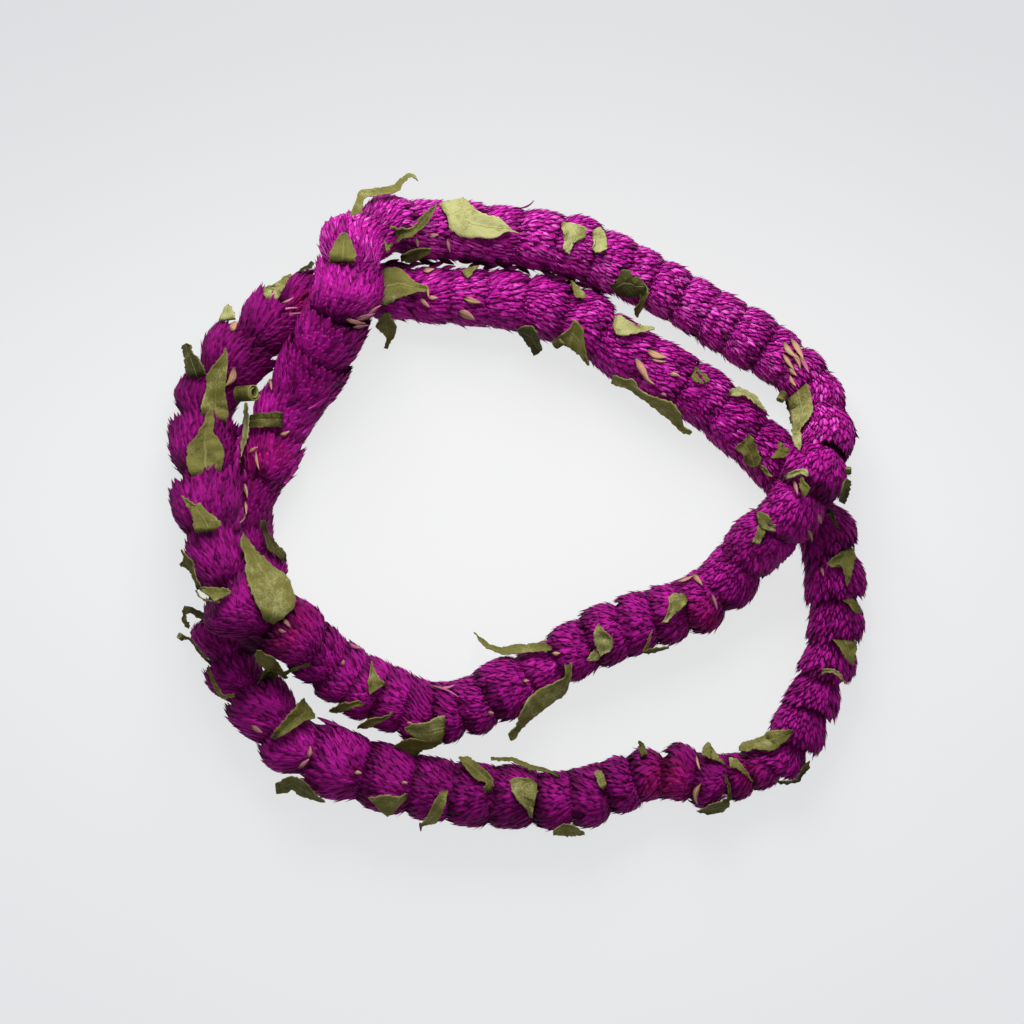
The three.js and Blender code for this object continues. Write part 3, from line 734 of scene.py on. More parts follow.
class HeadSettings(bpy.types.PropertyGroup):
    """Sizes and colours of the flower heads."""

    pitch: length_setting(
        "Bract spacing",
        "Distance from one bract to the next round a head",
        0.88 * MM,
        0.5 * MM,
    )
    row_step: length_setting(
        "Row spacing",
        "Distance from one ring of bracts to the next along a head",
        1.5 * MM,
        0.8 * MM,
    )
    bract_length: length_setting(
        "Bract length",
        "Length of a bract from its root to its tip",
        5.0 * MM,
        2.0 * MM,
    )
    lift: length_setting("Tip lift", "How far a bract's tip stands off the head", 0.28 * MM)
    light: colour_setting("Bract colour", "Colour of a bract near its tip", (0.76, 0.016, 0.50, 1))
    # The root colour shows in the gaps between the bracts' tips, partly as painted shade
    deep: colour_setting("Root colour", "Colour of a bract near its root", (0.042, 0.0, 0.021, 1))
    red: colour_setting("Red colour", "Colour of the redder bracts", (0.42, 0.008, 0.12, 1))
    pale: colour_setting(
        "Dried colour",
        "Colour of the bracts that have dried pale",
        (0.66, 0.40, 0.21, 1),
    )


class LeafSettings(bpy.types.PropertyGroup):
    """Sizes and colours of the leaves."""

    thickness: length_setting("Thickness", "Thickness of a leaf", 0.3 * MM, 0.1 * MM)
    wave: length_setting("Edge wave", "How far a leaf's edges wave up and down", 0.45 * MM)
    green: colour_setting("Leaf colour", "Colour of most leaves", (0.158, 0.148, 0.030, 1))
    dark: colour_setting("Dark colour", "Colour of the darkest leaves", (0.035, 0.032, 0.006, 1))
    faded: colour_setting(
        "Faded colour",
        "Colour of the palest leaves and of the veins",
        (0.41, 0.41, 0.17, 1),
    )


class ThreadSettings(bpy.types.PropertyGroup):
    """Sizes and colour of the thread."""

    ply_radius: length_setting(
        "Ply radius",
        "Radius of each of the two plies of the thread",
        0.24 * MM,
        0.05 * MM,
    )
    twist: length_setting(
        "Twist length",
        "Length of thread in which its plies go once round",
        4.0 * MM,
        1.0 * MM,
    )
    colour: colour_setting("Thread colour", "Colour of the thread", (0.68, 0.62, 0.50, 1))


class StageSettings(bpy.types.PropertyGroup):
    """The table, the light and the camera."""

    floor_size: length_setting("Table size", "Width of the table that the lei lies on", 6.0, 1.0)
    floor_colour: colour_setting("Table colour", "Colour of the table", (0.18, 0.182, 0.182, 1))
    lens: FloatProperty(
        name="Lens",
        description="Focal length of the camera in millimetres",
        default=400.0,
        min=50.0,
    )
    view_width: length_setting(
        "View width",
        "Width of the table that the picture shows",
        256 * MM,
        0.05,
    )


# The strand: head middles, the joints between them, and a smooth route through both
MIDDLES = np.array([(x, y, radius - SINK + lift) for x, y, lift, radius in HEADS])
RADII = np.array([row[3] for row in HEADS])
JOINTS = (np.roll(MIDDLES, 1, axis=0) + MIDDLES) / 2


def smooth_loop(points, steps):
    """Points on a smooth closed curve through the given ones."""
    a, b = np.roll(points, 1, axis=0), points
    c, d = np.roll(points, -1, axis=0), np.roll(points, -2, axis=0)
    t = (np.arange(steps) / steps)[None, :, None]
    start, end = (c - a)[:, None] / 2, (d - b)[:, None] / 2
    b, c = b[:, None], c[:, None]
    shape = b + start * t + (3 * (c - b) - 2 * start - end) * t**2
    shape = shape + (2 * (b - c) + start + end) * t**3
    return shape.reshape(-1, 3)


ROUTE = smooth_loop(np.stack([JOINTS, MIDDLES], axis=1).reshape(-1, 3), ROUTE_STEPS)
ROUTE = np.vstack([ROUTE, ROUTE[:1]])
REACHED = np.concatenate([[0], np.cumsum(np.linalg.norm(np.diff(ROUTE, axis=0), axis=1))])
ROUTE_LENGTH = REACHED[-1]
AT_JOINT = REACHED[:: 2 * ROUTE_STEPS]
AT_MIDDLE = REACHED[ROUTE_STEPS :: 2 * ROUTE_STEPS]
DIRECTIONS = np.gradient(ROUTE, axis=0)
DIRECTIONS[[0, -1]] = ROUTE[1] - ROUTE[-2]


def unit(vectors):
    """The same vectors, each of length one."""
    return vectors / np.linalg.norm(vectors, axis=-1, keepdims=True)


def on_route(lengths, table=ROUTE):
    """Places on the route, or directions of travel, at these lengths along it."""
    at = np.mod(lengths, ROUTE_LENGTH)
    return np.stack([np.interp(at, REACHED, table[:, axis]) for axis in range(3)], axis=-1)


def sides_of(along):
    """Left of a direction of travel, and up as near as it allows."""
    up = np.array([0.0, 0.0, 1.0]) - along[..., 2:3] * along
    up = unit(up)
    return np.cross(up, along), up


def outward(left, up, angle):
    """The way out from the strand at an angle round it."""
    return left * np.cos(angle)[..., None] + up * np.sin(angle)[..., None]


def strand_radius(lengths):
    """Radius of the strand at these lengths along it."""
    at = np.concatenate([AT_MIDDLE - ROUTE_LENGTH, AT_MIDDLE, AT_MIDDLE + ROUTE_LENGTH])
    return np.interp(lengths, at, np.tile(RADII, 3))


def select_nothing():
    """Leaves nothing selected, and no mesh in edit mode."""
    if bpy.context.mode != "OBJECT":
        bpy.ops.object.mode_set(mode="OBJECT")
    bpy.ops.object.select_all(action="DESELECT")


class Surface:
    """Corners in millimetres, faces between them, and looks, gathered part by part into one mesh."""

    def __init__(self):
        self.points, self.faces, self.looks, self.total = [], [], {}, 0

    def add(self, points, faces, looks):
        """Adds a grid of corners, its faces, and each look as a number or as a grid of them."""
        self.faces += [[self.total + k for k in face] for face in faces]
        self.points.append(points.reshape(-1, 3))
        self.total += len(self.points[-1])
        for label, values in looks.items():
            values = np.broadcast_to(values, points.shape[:-1])
            self.looks.setdefault(label, []).append(values.reshape(-1))

    def piece(self, name, material):
        """A new object of all that was gathered."""
        mesh = bpy.data.meshes.new(name)
        mesh.from_pydata((np.concatenate(self.points) * MM).tolist(), [], self.faces)
        for label, values in self.looks.items():
            layer = mesh.attributes.new(label, "FLOAT", "POINT")
            layer.data.foreach_set("value", np.concatenate(values).astype(np.float32))
        mesh.polygons.foreach_set("use_smooth", [True] * len(mesh.polygons))
        mesh.materials.append(material)
        mesh.update()
        piece = bpy.data.objects.new(name, mesh)
        bpy.context.scene.collection.objects.link(piece)
        return piece


def thicken(piece, thickness):
    """Gives a sheet a thickness."""
    select_nothing()
    piece.select_set(True)
    bpy.context.view_layer.objects.active = piece
    shell = piece.modifiers.new("thickness", "SOLIDIFY")
    shell.thickness = thickness
    shell.offset = 0
    bpy.ops.object.modifier_apply(modifier=shell.name)


def hand_over(piece, slot, *nodes):
    """The piece rides on the lei's one body and stands for these nodes."""
    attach(piece, BODY)
    if nodes:
        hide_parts(*nodes)


# Materials
UNIFORM = {
    "specular": "Specular IOR Level",
    "sheen": "Sheen Weight",
    "roughness": "Roughness",
    "glow": "Emission Strength",
}
VARYING = {
    "colour": "Base Color",
    "roughness": "Roughness",
    "normal": "Normal",
    "glow": "Emission Color",
}


class Number:
    """A socket that gives a number, for use in ordinary sums."""

    def __init__(self, paint, socket):
        self.paint = paint
        self.socket = socket

    def sum(self, operation, first, second=0.0, clamp=False):
        """The result of one operation of arithmetic."""
        settings = {"operation": operation, "use_clamp": clamp}
        node = self.paint.node("ShaderNodeMath", settings, [first, second])
        return Number(self.paint, node.outputs[0])

    def __add__(self, other):
        return self.sum("ADD", self, other)

    __radd__ = __add__

    def __sub__(self, other):
        return self.sum("SUBTRACT", self, other)

    def __rsub__(self, other):
        return self.sum("SUBTRACT", other, self)

    def __mul__(self, other):
        return self.sum("MULTIPLY", self, other)

    __rmul__ = __mul__

    def held(self):
        """The number kept between 0 and 1."""
        return self.sum("ADD", self, 0.0, clamp=True)

    def bent(self, low, high):
        """0 below low, 1 above high, and smooth between."""
        settings = {"interpolation_type": "SMOOTHSTEP"}
        sockets = {"Value": self, "From Min": low, "From Max": high}
        node = self.paint.node("ShaderNodeMapRange", settings, sockets)
        return Number(self.paint, node.outputs["Result"])


class Paint:
    """A material of nodes, built from Object coordinates and a piece's own attributes."""

    def __init__(self, name, **uniform):
        self.material = bpy.data.materials.new(name)
        self.material.use_nodes = True
        self.tree = self.material.node_tree
        self.shader = self.tree.nodes["Principled BSDF"]
        for label, value in uniform.items():
            self.shader.inputs[UNIFORM[label]].default_value = value

    def give(self, socket, value):
        """A value or a link for a socket."""
        if isinstance(value, Number):
            value = value.socket
        if isinstance(value, bpy.types.NodeSocket):
            self.tree.links.new(value, socket)
        else:
            socket.default_value = value

    def node(self, kind, settings=None, sockets=None):
        """A node of a type, with its settings and then the values or links of its sockets."""
        node = self.tree.nodes.new(kind)
        for label, value in (settings or {}).items():
            setattr(node, label, value)
        pairs = enumerate(sockets) if isinstance(sockets, list) else (sockets or {}).items()
        for key, value in pairs:
            self.give(node.inputs[key], value)
        return node

    def number(self, label):
        """An attribute of the piece."""
        return Number(self, self.node("ShaderNodeAttribute", {"attribute_name": label}).outputs["Fac"])

    def places(self):
        """Object coordinates."""
        return self.node("ShaderNodeTexCoord").outputs["Object"]

    def noise(self, scale, detail, roughness=0.5):
        """Soft noise with so many lumps a metre."""
        sockets = {
            "Vector": self.places(),
            "Scale": scale,
            "Detail": detail,
            "Roughness": roughness,
        }
        return Number(self, self.node("ShaderNodeTexNoise", None, sockets).outputs["Fac"])

    def blend(self, share, first, second):
        """One colour into another by a share."""
        settings = {"data_type": "RGBA", "blend_type": "MIX", "clamp_factor": True}
        node = self.node("ShaderNodeMix", settings)
        self.give(node.inputs[0], share)
        self.give(node.inputs[6], first)
        self.give(node.inputs[7], second)
        return node.outputs[2]

    def bump(self, height, distance, strength):
        """Relief of a height between 0 and 1 that stands out by a distance."""
        sockets = {"Height": height, "Distance": distance, "Strength": strength}
        return self.node("ShaderNodeBump", None, sockets).outputs["Normal"]

    def finish(self, **varying):
        """Links what changes over the surface to the shader."""
        for label, value in varying.items():
            self.give(self.shader.inputs[VARYING[label]], value)
        return self.material


def bract_material(colours):
    """Papery bracts: deep at the root (partly painted shade), bright at the tip with a painted highlight
    along each keel and a painted glint, some pale, some red, with fine ribs, and painted shade where the
    shade attribute says.
    """
    paint = Paint("bract_paper", roughness=0.55, specular=0.07)
    along, shade, ridge = paint.number("along"), paint.number("shade"), paint.number("ridge")
    mottle = paint.noise(900, 3)
    patches = paint.noise(70, 2)
    # Painted light and shade: each bract runs from the deep colour at its root, partly painted shade, to a
    # painted highlight along its keel (ridge), scaled by each stretch's brightness, which is partly painted
    # light; mottle and patches are the bracts' own uneven colour
    lit = along * (ridge * 1.45 - 0.05) * paint.number("tone_and_painted_light")
    lit = lit + (mottle - 0.5) * 0.35 + (patches - 0.5) * 0.5
    colour = paint.blend(lit.held(), colours.deep, colours.light)
    # Painted glint: the brightest stretch of each keel near its tip turns to a pale highlight colour
    colour = paint.blend(lit.bent(0.7, 1.4) * 0.9, colour, PAINTED_GLINT)
    colour = paint.blend(paint.number("red"), colour, colours.red)
    streaks = paint.noise(2600, 3)
    dried = paint.number("pale") * (0.45 + mottle * 0.5 + streaks * 0.5)
    colour = paint.blend(dried.held(), colour, colours.pale)
    # Painted shade: the shade attribute darkens the necks between heads, the inner rings, the head cores and
    # the dark gap bracts; the rest of it is the random darker bracts' own tone
    colour = paint.blend((shade * 0.85).held(), colour, PAINTED_SHADE_COLOUR)
    ribs = paint.noise(5200, 2)
    return paint.finish(
        colour=colour,
        roughness=0.5 + mottle * 0.2,
        normal=paint.bump(ribs, 0.06 * MM, 0.5),
    )


def leaf_material(colours):
    """Dry leaves: dark olive to pale green, speckled, with a paler midrib and side veins and a worn edge."""
    paint = Paint("dry_leaf", roughness=0.7, specular=0.2)
    across, along, tone = paint.number("across"), paint.number("along"), paint.number("tone")
    blotches = paint.noise(260, 4, 0.6)
    specks = paint.noise(2600, 3, 0.7)
    age = tone + (blotches - 0.5) * 1.1 + (specks - 0.5) * 0.9
    colour = paint.blend(age.bent(0.0, 0.55), colours.dark, colours.green)
    colour = paint.blend(age.bent(0.55, 1.0), colour, colours.faded)
    side_veins = (along * 9.0 - across * 2.2) * 2 * math.pi
    side_veins = side_veins.sum("SINE", side_veins)
    side_veins = side_veins.bent(0.86, 1.0) * across.bent(0.05, 0.3) * (1 - across.bent(0.75, 1.0))
    midrib = 1 - across.bent(0.02, 0.11)
    veins = (midrib + side_veins * 0.35).held()
    edge = across.bent(0.84, 1.0)
    lighter = paint.blend(0.5, colour, colours.faded)
    colour = paint.blend((veins * 0.5 + edge * 0.4).held(), colour, lighter)
    relief = veins * 0.8 + blotches * 0.35 + specks * 0.25
    return paint.finish(
        colour=colour,
        roughness=0.6 + specks * 0.25,
        normal=paint.bump(relief, 0.22 * MM, 0.7),
    )


def thread_material(colour):
    """Cotton thread: off-white, with fine fibres."""
    paint = Paint("cotton_thread", roughness=0.85, specular=0.2, sheen=0.3)
    fibres = paint.noise(6000, 3)
    mixed = paint.blend(fibres.bent(0.3, 0.7), THREAD_SHADE, colour)
    return paint.finish(colour=mixed, normal=paint.bump(fibres, 0.08 * MM, 0.6))


def table_material(colour):
    """A pale table that glows a little, most of all in the middle, as painted light that lifts the shadows
    on it; darker in colour towards +Y, a painted shade that evens out the key light.
    """
    paint = Paint("pale_table", roughness=0.9, specular=0.1, glow=1.0)
    length = paint.node("ShaderNodeVectorMath", {"operation": "LENGTH"}, [paint.places()])
    reach = Number(paint, length.outputs["Value"])
    axes = paint.node("ShaderNodeSeparateXYZ", None, [paint.places()])
    forward = Number(paint, axes.outputs["Y"])
    # Painted shade: the table's colour is darker towards +Y, evening out the key light there; its glow,
    # brighter in the middle, is painted light
    far = tuple(c * 0.25 for c in colour[:3]) + (1,)
    return paint.finish(
        colour=paint.blend(forward.bent(-0.02, 0.14), colour, far),
        glow=paint.blend(reach.bent(0.02, 0.17), TABLE_GLOW, TABLE_GLOW_FAR),
    )


# Flower heads
def bract_shape():
    """One bract, as corners across (-1 to 1), along (0 to 1) and up (0 to 1), and its faces."""
    select_nothing()
    bpy.ops.mesh.primitive_cone_add(vertices=3, radius1=1, radius2=0, depth=1, end_fill_type="NGON")
    bract = bpy.context.object
    bpy.ops.object.mode_set(mode="EDIT")
    for height, _ in BRACT_WIDTHS[1:]:
        bpy.ops.mesh.select_all(action="SELECT")
        bpy.ops.mesh.bisect(plane_co=(0, 0, height), plane_no=(0, 0, 1))
    bpy.ops.object.mode_set(mode="OBJECT")
    for height, share in BRACT_WIDTHS:
        for vertex in bract.data.vertices:
            vertex.select = abs(vertex.co.z - height) < 1e-3
        ring = [v for v in bract.data.vertices if v.select]
        across = max(abs(v.co.x) for v in ring)
        bpy.ops.object.mode_set(mode="EDIT")
        bpy.ops.mesh.select_mode(type="VERT")
        bpy.ops.transform.resize(value=(share / across, share / across, 1), center_override=(0, 0, height))
        bpy.ops.object.mode_set(mode="OBJECT")
    corners = np.array([v.co for v in bract.data.vertices])
    faces = [list(face.vertices) for face in bract.data.polygons]
    bpy.data.objects.remove(bract)
    lowest = corners[:, 1].min()
    up = (corners[:, 1] - lowest) / (corners[:, 1].max() - lowest)
    tip = corners[:, 2] > 0.49
    up[tip] = 0.35
    return np.stack([corners[:, 0], corners[:, 2] + 0.5, up], axis=1), faces


def profile(share, spread, neck):
    """Radius of a head as a share of its widest, at a share of the way from its base to its tips."""
    places = [-0.3, -0.2, -0.1, 0.02, 0.13, 0.3, 0.55, 0.8, 0.95, 1.08, 1.3]
    tucked = [0.2, 0.52, 0.76, 0.93, 1.0, 1.03, 1.03, 0.99, 0.96, 0.86, 0.7]
    opened = [0.2, 0.45, 0.68, 0.93, 0.95, 0.98, 1.0, 1.01, 1.0, 0.99, 0.96]
    tucked = np.interp(share, places, tucked) - neck * np.interp(share, places[7:10], [0, 0.9, 1.2])
    dip = np.interp(share, places[2:7], [0, 1.6, 1.5, 0.6, 0])
    opened = np.interp(share, places, opened) - neck * dip
    return tucked + (opened - tucked) * spread


def near(points, places):
    """How much each point is within the given places."""
    amount = np.zeros(len(points))
    for x, y, radius, most in places:
        away = np.hypot(points[:, 0] - x, points[:, 1] - y) / radius
        amount = np.maximum(amount, most * np.clip(1.6 - 1.3 * away, 0, 1))
    return np.where(points[:, 2] > np.median(points[:, 2]), amount, 0)


class Head:
    """One flower head on the strand."""

    def __init__(self, i):
        self.radius = RADII[i]
        self.spread, self.neck, self.uneven, self.bright, self.coarse, self.fan = LOOKS[i]
        self.start = AT_JOINT[i]
        self.end = AT_JOINT[i + 1]
        along = unit(JOINTS[(i + 1) % COUNT] - JOINTS[i])
        self.left, self.up = sides_of(along)
        self.random = np.random.default_rng(SEED + i)
        self.tilt = self.random.uniform(0.2, 1.0) * self.uneven
        self.tilt_angle = self.random.uniform(0, 2 * math.pi)
        self.swirl = self.random.normal(0, 0.1)
        self.fan *= self.random.uniform(0.6, 1.2)
        self.fan_angle = math.pi / 2 + self.random.normal(0, 0.5)
        self.spread = float(np.clip(self.spread + self.random.normal(0, 0.12), 0, 1.1))

    def place(self, length, angle, out=0.0):
        """A place at a length along the route and an angle round it, so far outside the head's face."""
        tilted = length + self.tilt * np.cos(angle - self.tilt_angle)
        share = (length - self.start) / (self.end - self.start)
        neck = self.neck * (0.7 + 0.3 * np.cos(angle))
        radius = profile(share, self.spread, neck) * self.radius
        direction = outward(self.left, self.up, angle)
        return on_route(tilted) + direction * (radius + out)[..., None]


def head_core(head):
    """The inside of a head that shows between its bracts, painted dark as painted shade: rings of corners
    and their faces.
    """
    lengths = np.linspace(head.start - 1.0, head.end + 0.2 - 1.6 * head.spread, CORE_RINGS)
    angles = np.arange(CORE_SIDES) * 2 * math.pi / CORE_SIDES
    grid_length, grid_angle = np.meshgrid(lengths, angles, indexing="ij")
    out = np.full(grid_length.shape, -CORE_DEPTH)
    out[[0, -1]] = -CORE_CAP_DEPTH
    points = head.place(grid_length, grid_angle, out).reshape(-1, 3)
    faces = []
    for row in range(CORE_RINGS - 1):
        a, b = row * CORE_SIDES, (row + 1) * CORE_SIDES
        for k in range(CORE_SIDES):
            n = (k + 1) % CORE_SIDES
            faces.append([a + k, b + k, b + n, a + n])
    faces.append(list(range(CORE_SIDES)))
    last = (CORE_RINGS - 1) * CORE_SIDES
    faces.append([last + k for k in reversed(range(CORE_SIDES))])
    return points, faces


def head_bracts(head, settings, shape):
    """Rings of bracts on a head: the corners of each, in the shape's order, and what colours them."""
    random = head.random
    row_step = settings.row_step / MM * head.coarse
    length = settings.bract_length / MM * head.coarse
    pitch = settings.pitch / MM * head.coarse
    first, last = head.start - FIRST_TIPS, head.end + FRINGE
    rows = int(round((last - first) / row_step)) + 1
    per_row = int(round(2 * math.pi * head.radius / pitch))
    inner_rows = INNER_RINGS if head.spread > OPEN_FROM else 0
    row = np.repeat(np.arange(rows + inner_rows), per_row)
    around = np.tile(np.arange(per_row), rows + inner_rows)
    count = len(row)
    inner = np.maximum(row - rows + 1, 0)
    tip = first + (last - first) * (row - inner) / (rows - 1) - INNER_STEP * inner
    tip = tip + random.normal(0, 0.32, count)
    fringe = (row >= rows - 2) & (inner == 0)
    tip += np.where(fringe, random.normal(0, 0.45, count), 0)
    angle = (around + 0.5 * row + random.normal(0, 0.13, count)) * 2 * math.pi / per_row
    long = length * random.uniform(0.85, 1.12, count)
    root = np.maximum(tip - long, head.start - DEEPEST_ROOT)
    half = pitch * random.uniform(0.5, 0.7, count)
    lean = head.swirl + random.normal(0, 0.09, count)
    lift = settings.lift / MM * random.uniform(0.3, 1.5, count)
    lift += np.where(fringe, 0.1 + 0.4 * head.spread, 0)
    lift += np.where(random.uniform(0, 1, count) < STRAY, random.uniform(0.2, 0.8, count), 0)
    roll = random.normal(0, 0.25, count)
    x, y, z = (shape[:, k][None, :] for k in range(3))
    spin = roll[:, None]
    across = half[:, None] * (x * np.cos(spin) - 0.5 * z * np.sin(spin))
    height = half[:, None] * (1.05 * z * np.cos(spin) + 0.35 * x * np.sin(spin))
    at = root[:, None] + (tip - root)[:, None] * y
    out = -CORE_DEPTH * (1 - y) ** 1.3 + lift[:, None] * y**3 + height - 0.3
    out = out - 0.16 * head.radius * inner[:, None]
    fan = head.fan * np.clip(1.1 - 1.3 * (at - head.start) / (head.end - head.start), 0, 1)
    turn = angle[:, None] - fan * np.sin(angle[:, None] - head.fan_angle)
    turn += (across + lean[:, None] * (at - root[:, None])) / head.radius
    points = head.place(at, turn, out)
    points[..., 2] = np.maximum(points[..., 2], 0)
    centres = points.mean(axis=1)
    share = (tip - head.start) / (head.end - head.start)
    # Painted shade at the base of open heads, on the inner rings, and at the tips of tucked heads under the
    # next head's base
    painted_shade = np.clip(1.1 - share / 0.4, 0, 1) * head.spread + 0.25 * inner
    neck_shade = min(0.2 + head.neck * 8, 1)
    painted_shade = painted_shade + np.clip((share - 0.85) / 0.15, 0, 1) * (1 - head.spread) * neck_shade
    darker = random.uniform(0, 1, count) < DARKER
    tone = np.where(darker, random.uniform(0.4, 0.95, count), random.uniform(0, 0.35, count))
    tone = np.clip(tone + painted_shade, 0, 1.1)
    # ridge paints a highlight along each keel; the brightness is the stretch's painted light and shade times
    # a random tone of each bract
    looks = {
        "along": y,
        "ridge": z,
        "shade": (tone * 0.85)[:, None],
        "tone_and_painted_light": (head.bright * random.uniform(0.75, 1.25, count))[:, None],
        "red": (near(centres, RED_PLACES) * random.uniform(0.5, 1.2, count))[:, None],
    }
    return points, looks


def blooms(first, settings, shape, faces, material):
    """A run of heads as one piece."""
    surface = Surface()
    for i in range(first, first + HEADS_IN_RUN):
        head = Head(i)
        points, core_faces = head_core(head)
        points[:, 2] = np.maximum(points[:, 2], 0)
        core_looks = {"along": 0, "ridge": 0, "shade": CORE_SHADE, "tone_and_painted_light": 0, "red": 0}
        surface.add(points, core_faces, core_looks)
        points, looks = head_bracts(head, settings, shape)
        starts = np.arange(len(points))[:, None] * len(shape)
        bract_faces = [corners for face in faces for corners in (starts + face).tolist()]
        surface.add(points, bract_faces, looks)
    run = f"{first + 1:02d}_{first + HEADS_IN_RUN:02d}"
    hand_over(surface.piece(f"bracts_{run}", material), "bloom", f"blooms_{run}")


# Leaves
def measured(numbers):
    """Points measured on the photograph, in millimetres."""
    points = np.array(numbers, float).reshape(-1, 2)
    return (points - PICTURE_MIDDLE) * (PICTURE_STEP, -PICTURE_STEP)


def stepped(line, shares):
    """Places at shares of the way along a line, with its corners softened."""
    reached = np.concatenate([[0], np.cumsum(np.linalg.norm(np.diff(line, axis=0), axis=1))])
    places = np.stack([np.interp(shares * reached[-1], reached, line[:, k]) for k in range(2)], axis=1)
    places[1:-1] = (places[:-2] + 2 * places[1:-1] + places[2:]) / 4
    return places


def over_strand(places, head, gap):
    """Heights that clear the strand near a head by a gap, and fall away past its sides."""
    lengths = AT_JOINT[head - 1] + np.linspace(*STRETCH, 69)
    route = on_route(lengths)
    away = np.linalg.norm(places[..., None, :] - route[:, :2], axis=-1)
    nearest = np.argmin(away, axis=-1)
    reach = strand_radius(lengths)[nearest] + gap
    share = np.min(away, axis=-1) / reach
    drop = np.where(share < 0.8, np.sqrt(np.maximum(1 - share**2, 0.36)), 0.6 - (share - 0.8) * 1.33)
    return route[nearest, 2] + reach * drop


def grid_faces(rows, columns):
    """Faces between rows of corners, so many columns of them."""
    wide = columns + 1
    return [
        [r * wide + c, r * wide + c + 1, (r + 1) * wide + c + 1, (r + 1) * wide + c]
        for r in range(rows)
        for c in range(columns)
    ]


def leaf_sheet(row, settings, random):
    """A leaf as a grid of corners, its faces, and how far across and along each corner is."""
    head, tone, rise, roll, *edges = row
    edges = [measured(edge) for edge in edges]
    length = max(np.linalg.norm(np.diff(edge, axis=0), axis=1).sum() for edge in edges)
    rows, columns = int(np.clip(length / 0.5, 10, 36)), 10
    share = np.linspace(0, 1, rows + 1)
    first, second = (stepped(edge, share) for edge in edges)
    for edge in (first, second):
        edge[1:-1] += random.normal(0, EDGE_WEAR, (rows - 1, 2))
    side = np.linspace(-1, 1, columns + 1)
    plan = first[:, None] + (second - first)[:, None] * ((side + 1) / 2)[None, :, None]
    half = np.linalg.norm(second - first, axis=1)[:, None] / 2
    high = over_strand(plan, head, LEAF_GAP)
    rooted = LEAF_ROOT_DEPTH * np.clip(1 - share / 0.12, 0, 1) ** 2
    high += (rise * share**1.5 - rooted)[:, None]
    high += roll * half * (side**2)[None, :] / 2
    waves = [np.sin(share * random.uniform(7, 13) + random.uniform(0, 6)) for _ in range(2)]
    wave = np.where(side[None, :] < 0, waves[0][:, None], waves[1][:, None])
    high += settings.wave / MM * wave * np.abs(side[None, :]) ** 1.5 * np.clip(half / 2, 0, 1)
    high += RIB_DEPTH * np.sin(share * random.uniform(4, 9) + random.uniform(0, 6))[:, None]
    high -= RIB_DEPTH * (1 - np.abs(side[None, :])) ** 4
    for _ in range(3):
        crease = plan @ random.normal(0, 1.3, 2) + random.uniform(0, 6)
        high += CREASE * np.sin(crease)
    points = np.concatenate([plan, high[..., None]], axis=-1)
    points[..., 2] = np.maximum(points[..., 2], settings.thickness / MM * 0.6)
    # Painted shade: a leaf's tone is darker near its root, where it goes under its head
    looks = {
        "across": np.abs(side)[None, :],
        "along": share[:, None],
        "tone": (tone - 0.3 * np.clip(1 - share / 0.15, 0, 1))[:, None],
    }
    return points, grid_faces(rows, columns), looks


def rolled_sheet(row):
    """A leaf rolled up like a scroll, in the same form as a leaf sheet."""
    head, tone, *ends, rise, radius = row
    start, end = measured(ends)
    turns, columns = 40, 8
    turn = np.linspace(0, 2 * ROLL_TURNS * math.pi, turns + 1)[:, None]
    share = np.broadcast_to(np.linspace(0, 1, columns + 1)[None, :], (turns + 1, columns + 1))
    axis = np.append(end - start, rise)
    left, up = sides_of(unit(axis))
    reach = radius * PICTURE_STEP * (0.5 + 0.5 * turn / turn.max())
    start = np.append(start, over_strand(start, head, LEAF_GAP))
    points = start + share[..., None] * axis + outward(left, up, turn) * reach[..., None]
    looks = {"across": share, "along": turn / turn.max(), "tone": tone + 0.5 * share**3}
    return points, grid_faces(turns, columns), looks


def leaves_of(head, settings, material):
    """The leaves that grow under one head, as one piece with a thickness."""
    random = np.random.default_rng(LEAF_SEED + head)
    surface = Surface()
    for row in LEAVES:
        if row[0] == head:
            surface.add(*leaf_sheet(row, settings, random))
    for row in ROLLED:
        if row[0] == head:
            surface.add(*rolled_sheet(row))
    piece = surface.piece(f"leaf_{head:02d}", material)
    thicken(piece, settings.thickness)
    node = f"leaves_at_head_{head:02d}"
    hand_over(piece, "leaf", *([node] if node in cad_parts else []))


def head_under(place):
    """The number of the head that is uppermost at a place in plan."""
    away = np.hypot(MIDDLES[:, 0] - place[0], MIDDLES[:, 1] - place[1])
    reach = RADII * 1.1
    dome = np.sqrt(np.maximum(reach**2 - away**2, 0))
    top = MIDDLES[:, 2] + dome - np.maximum(away - reach, 0) * 9
    return int(np.argmax(top)) + 1


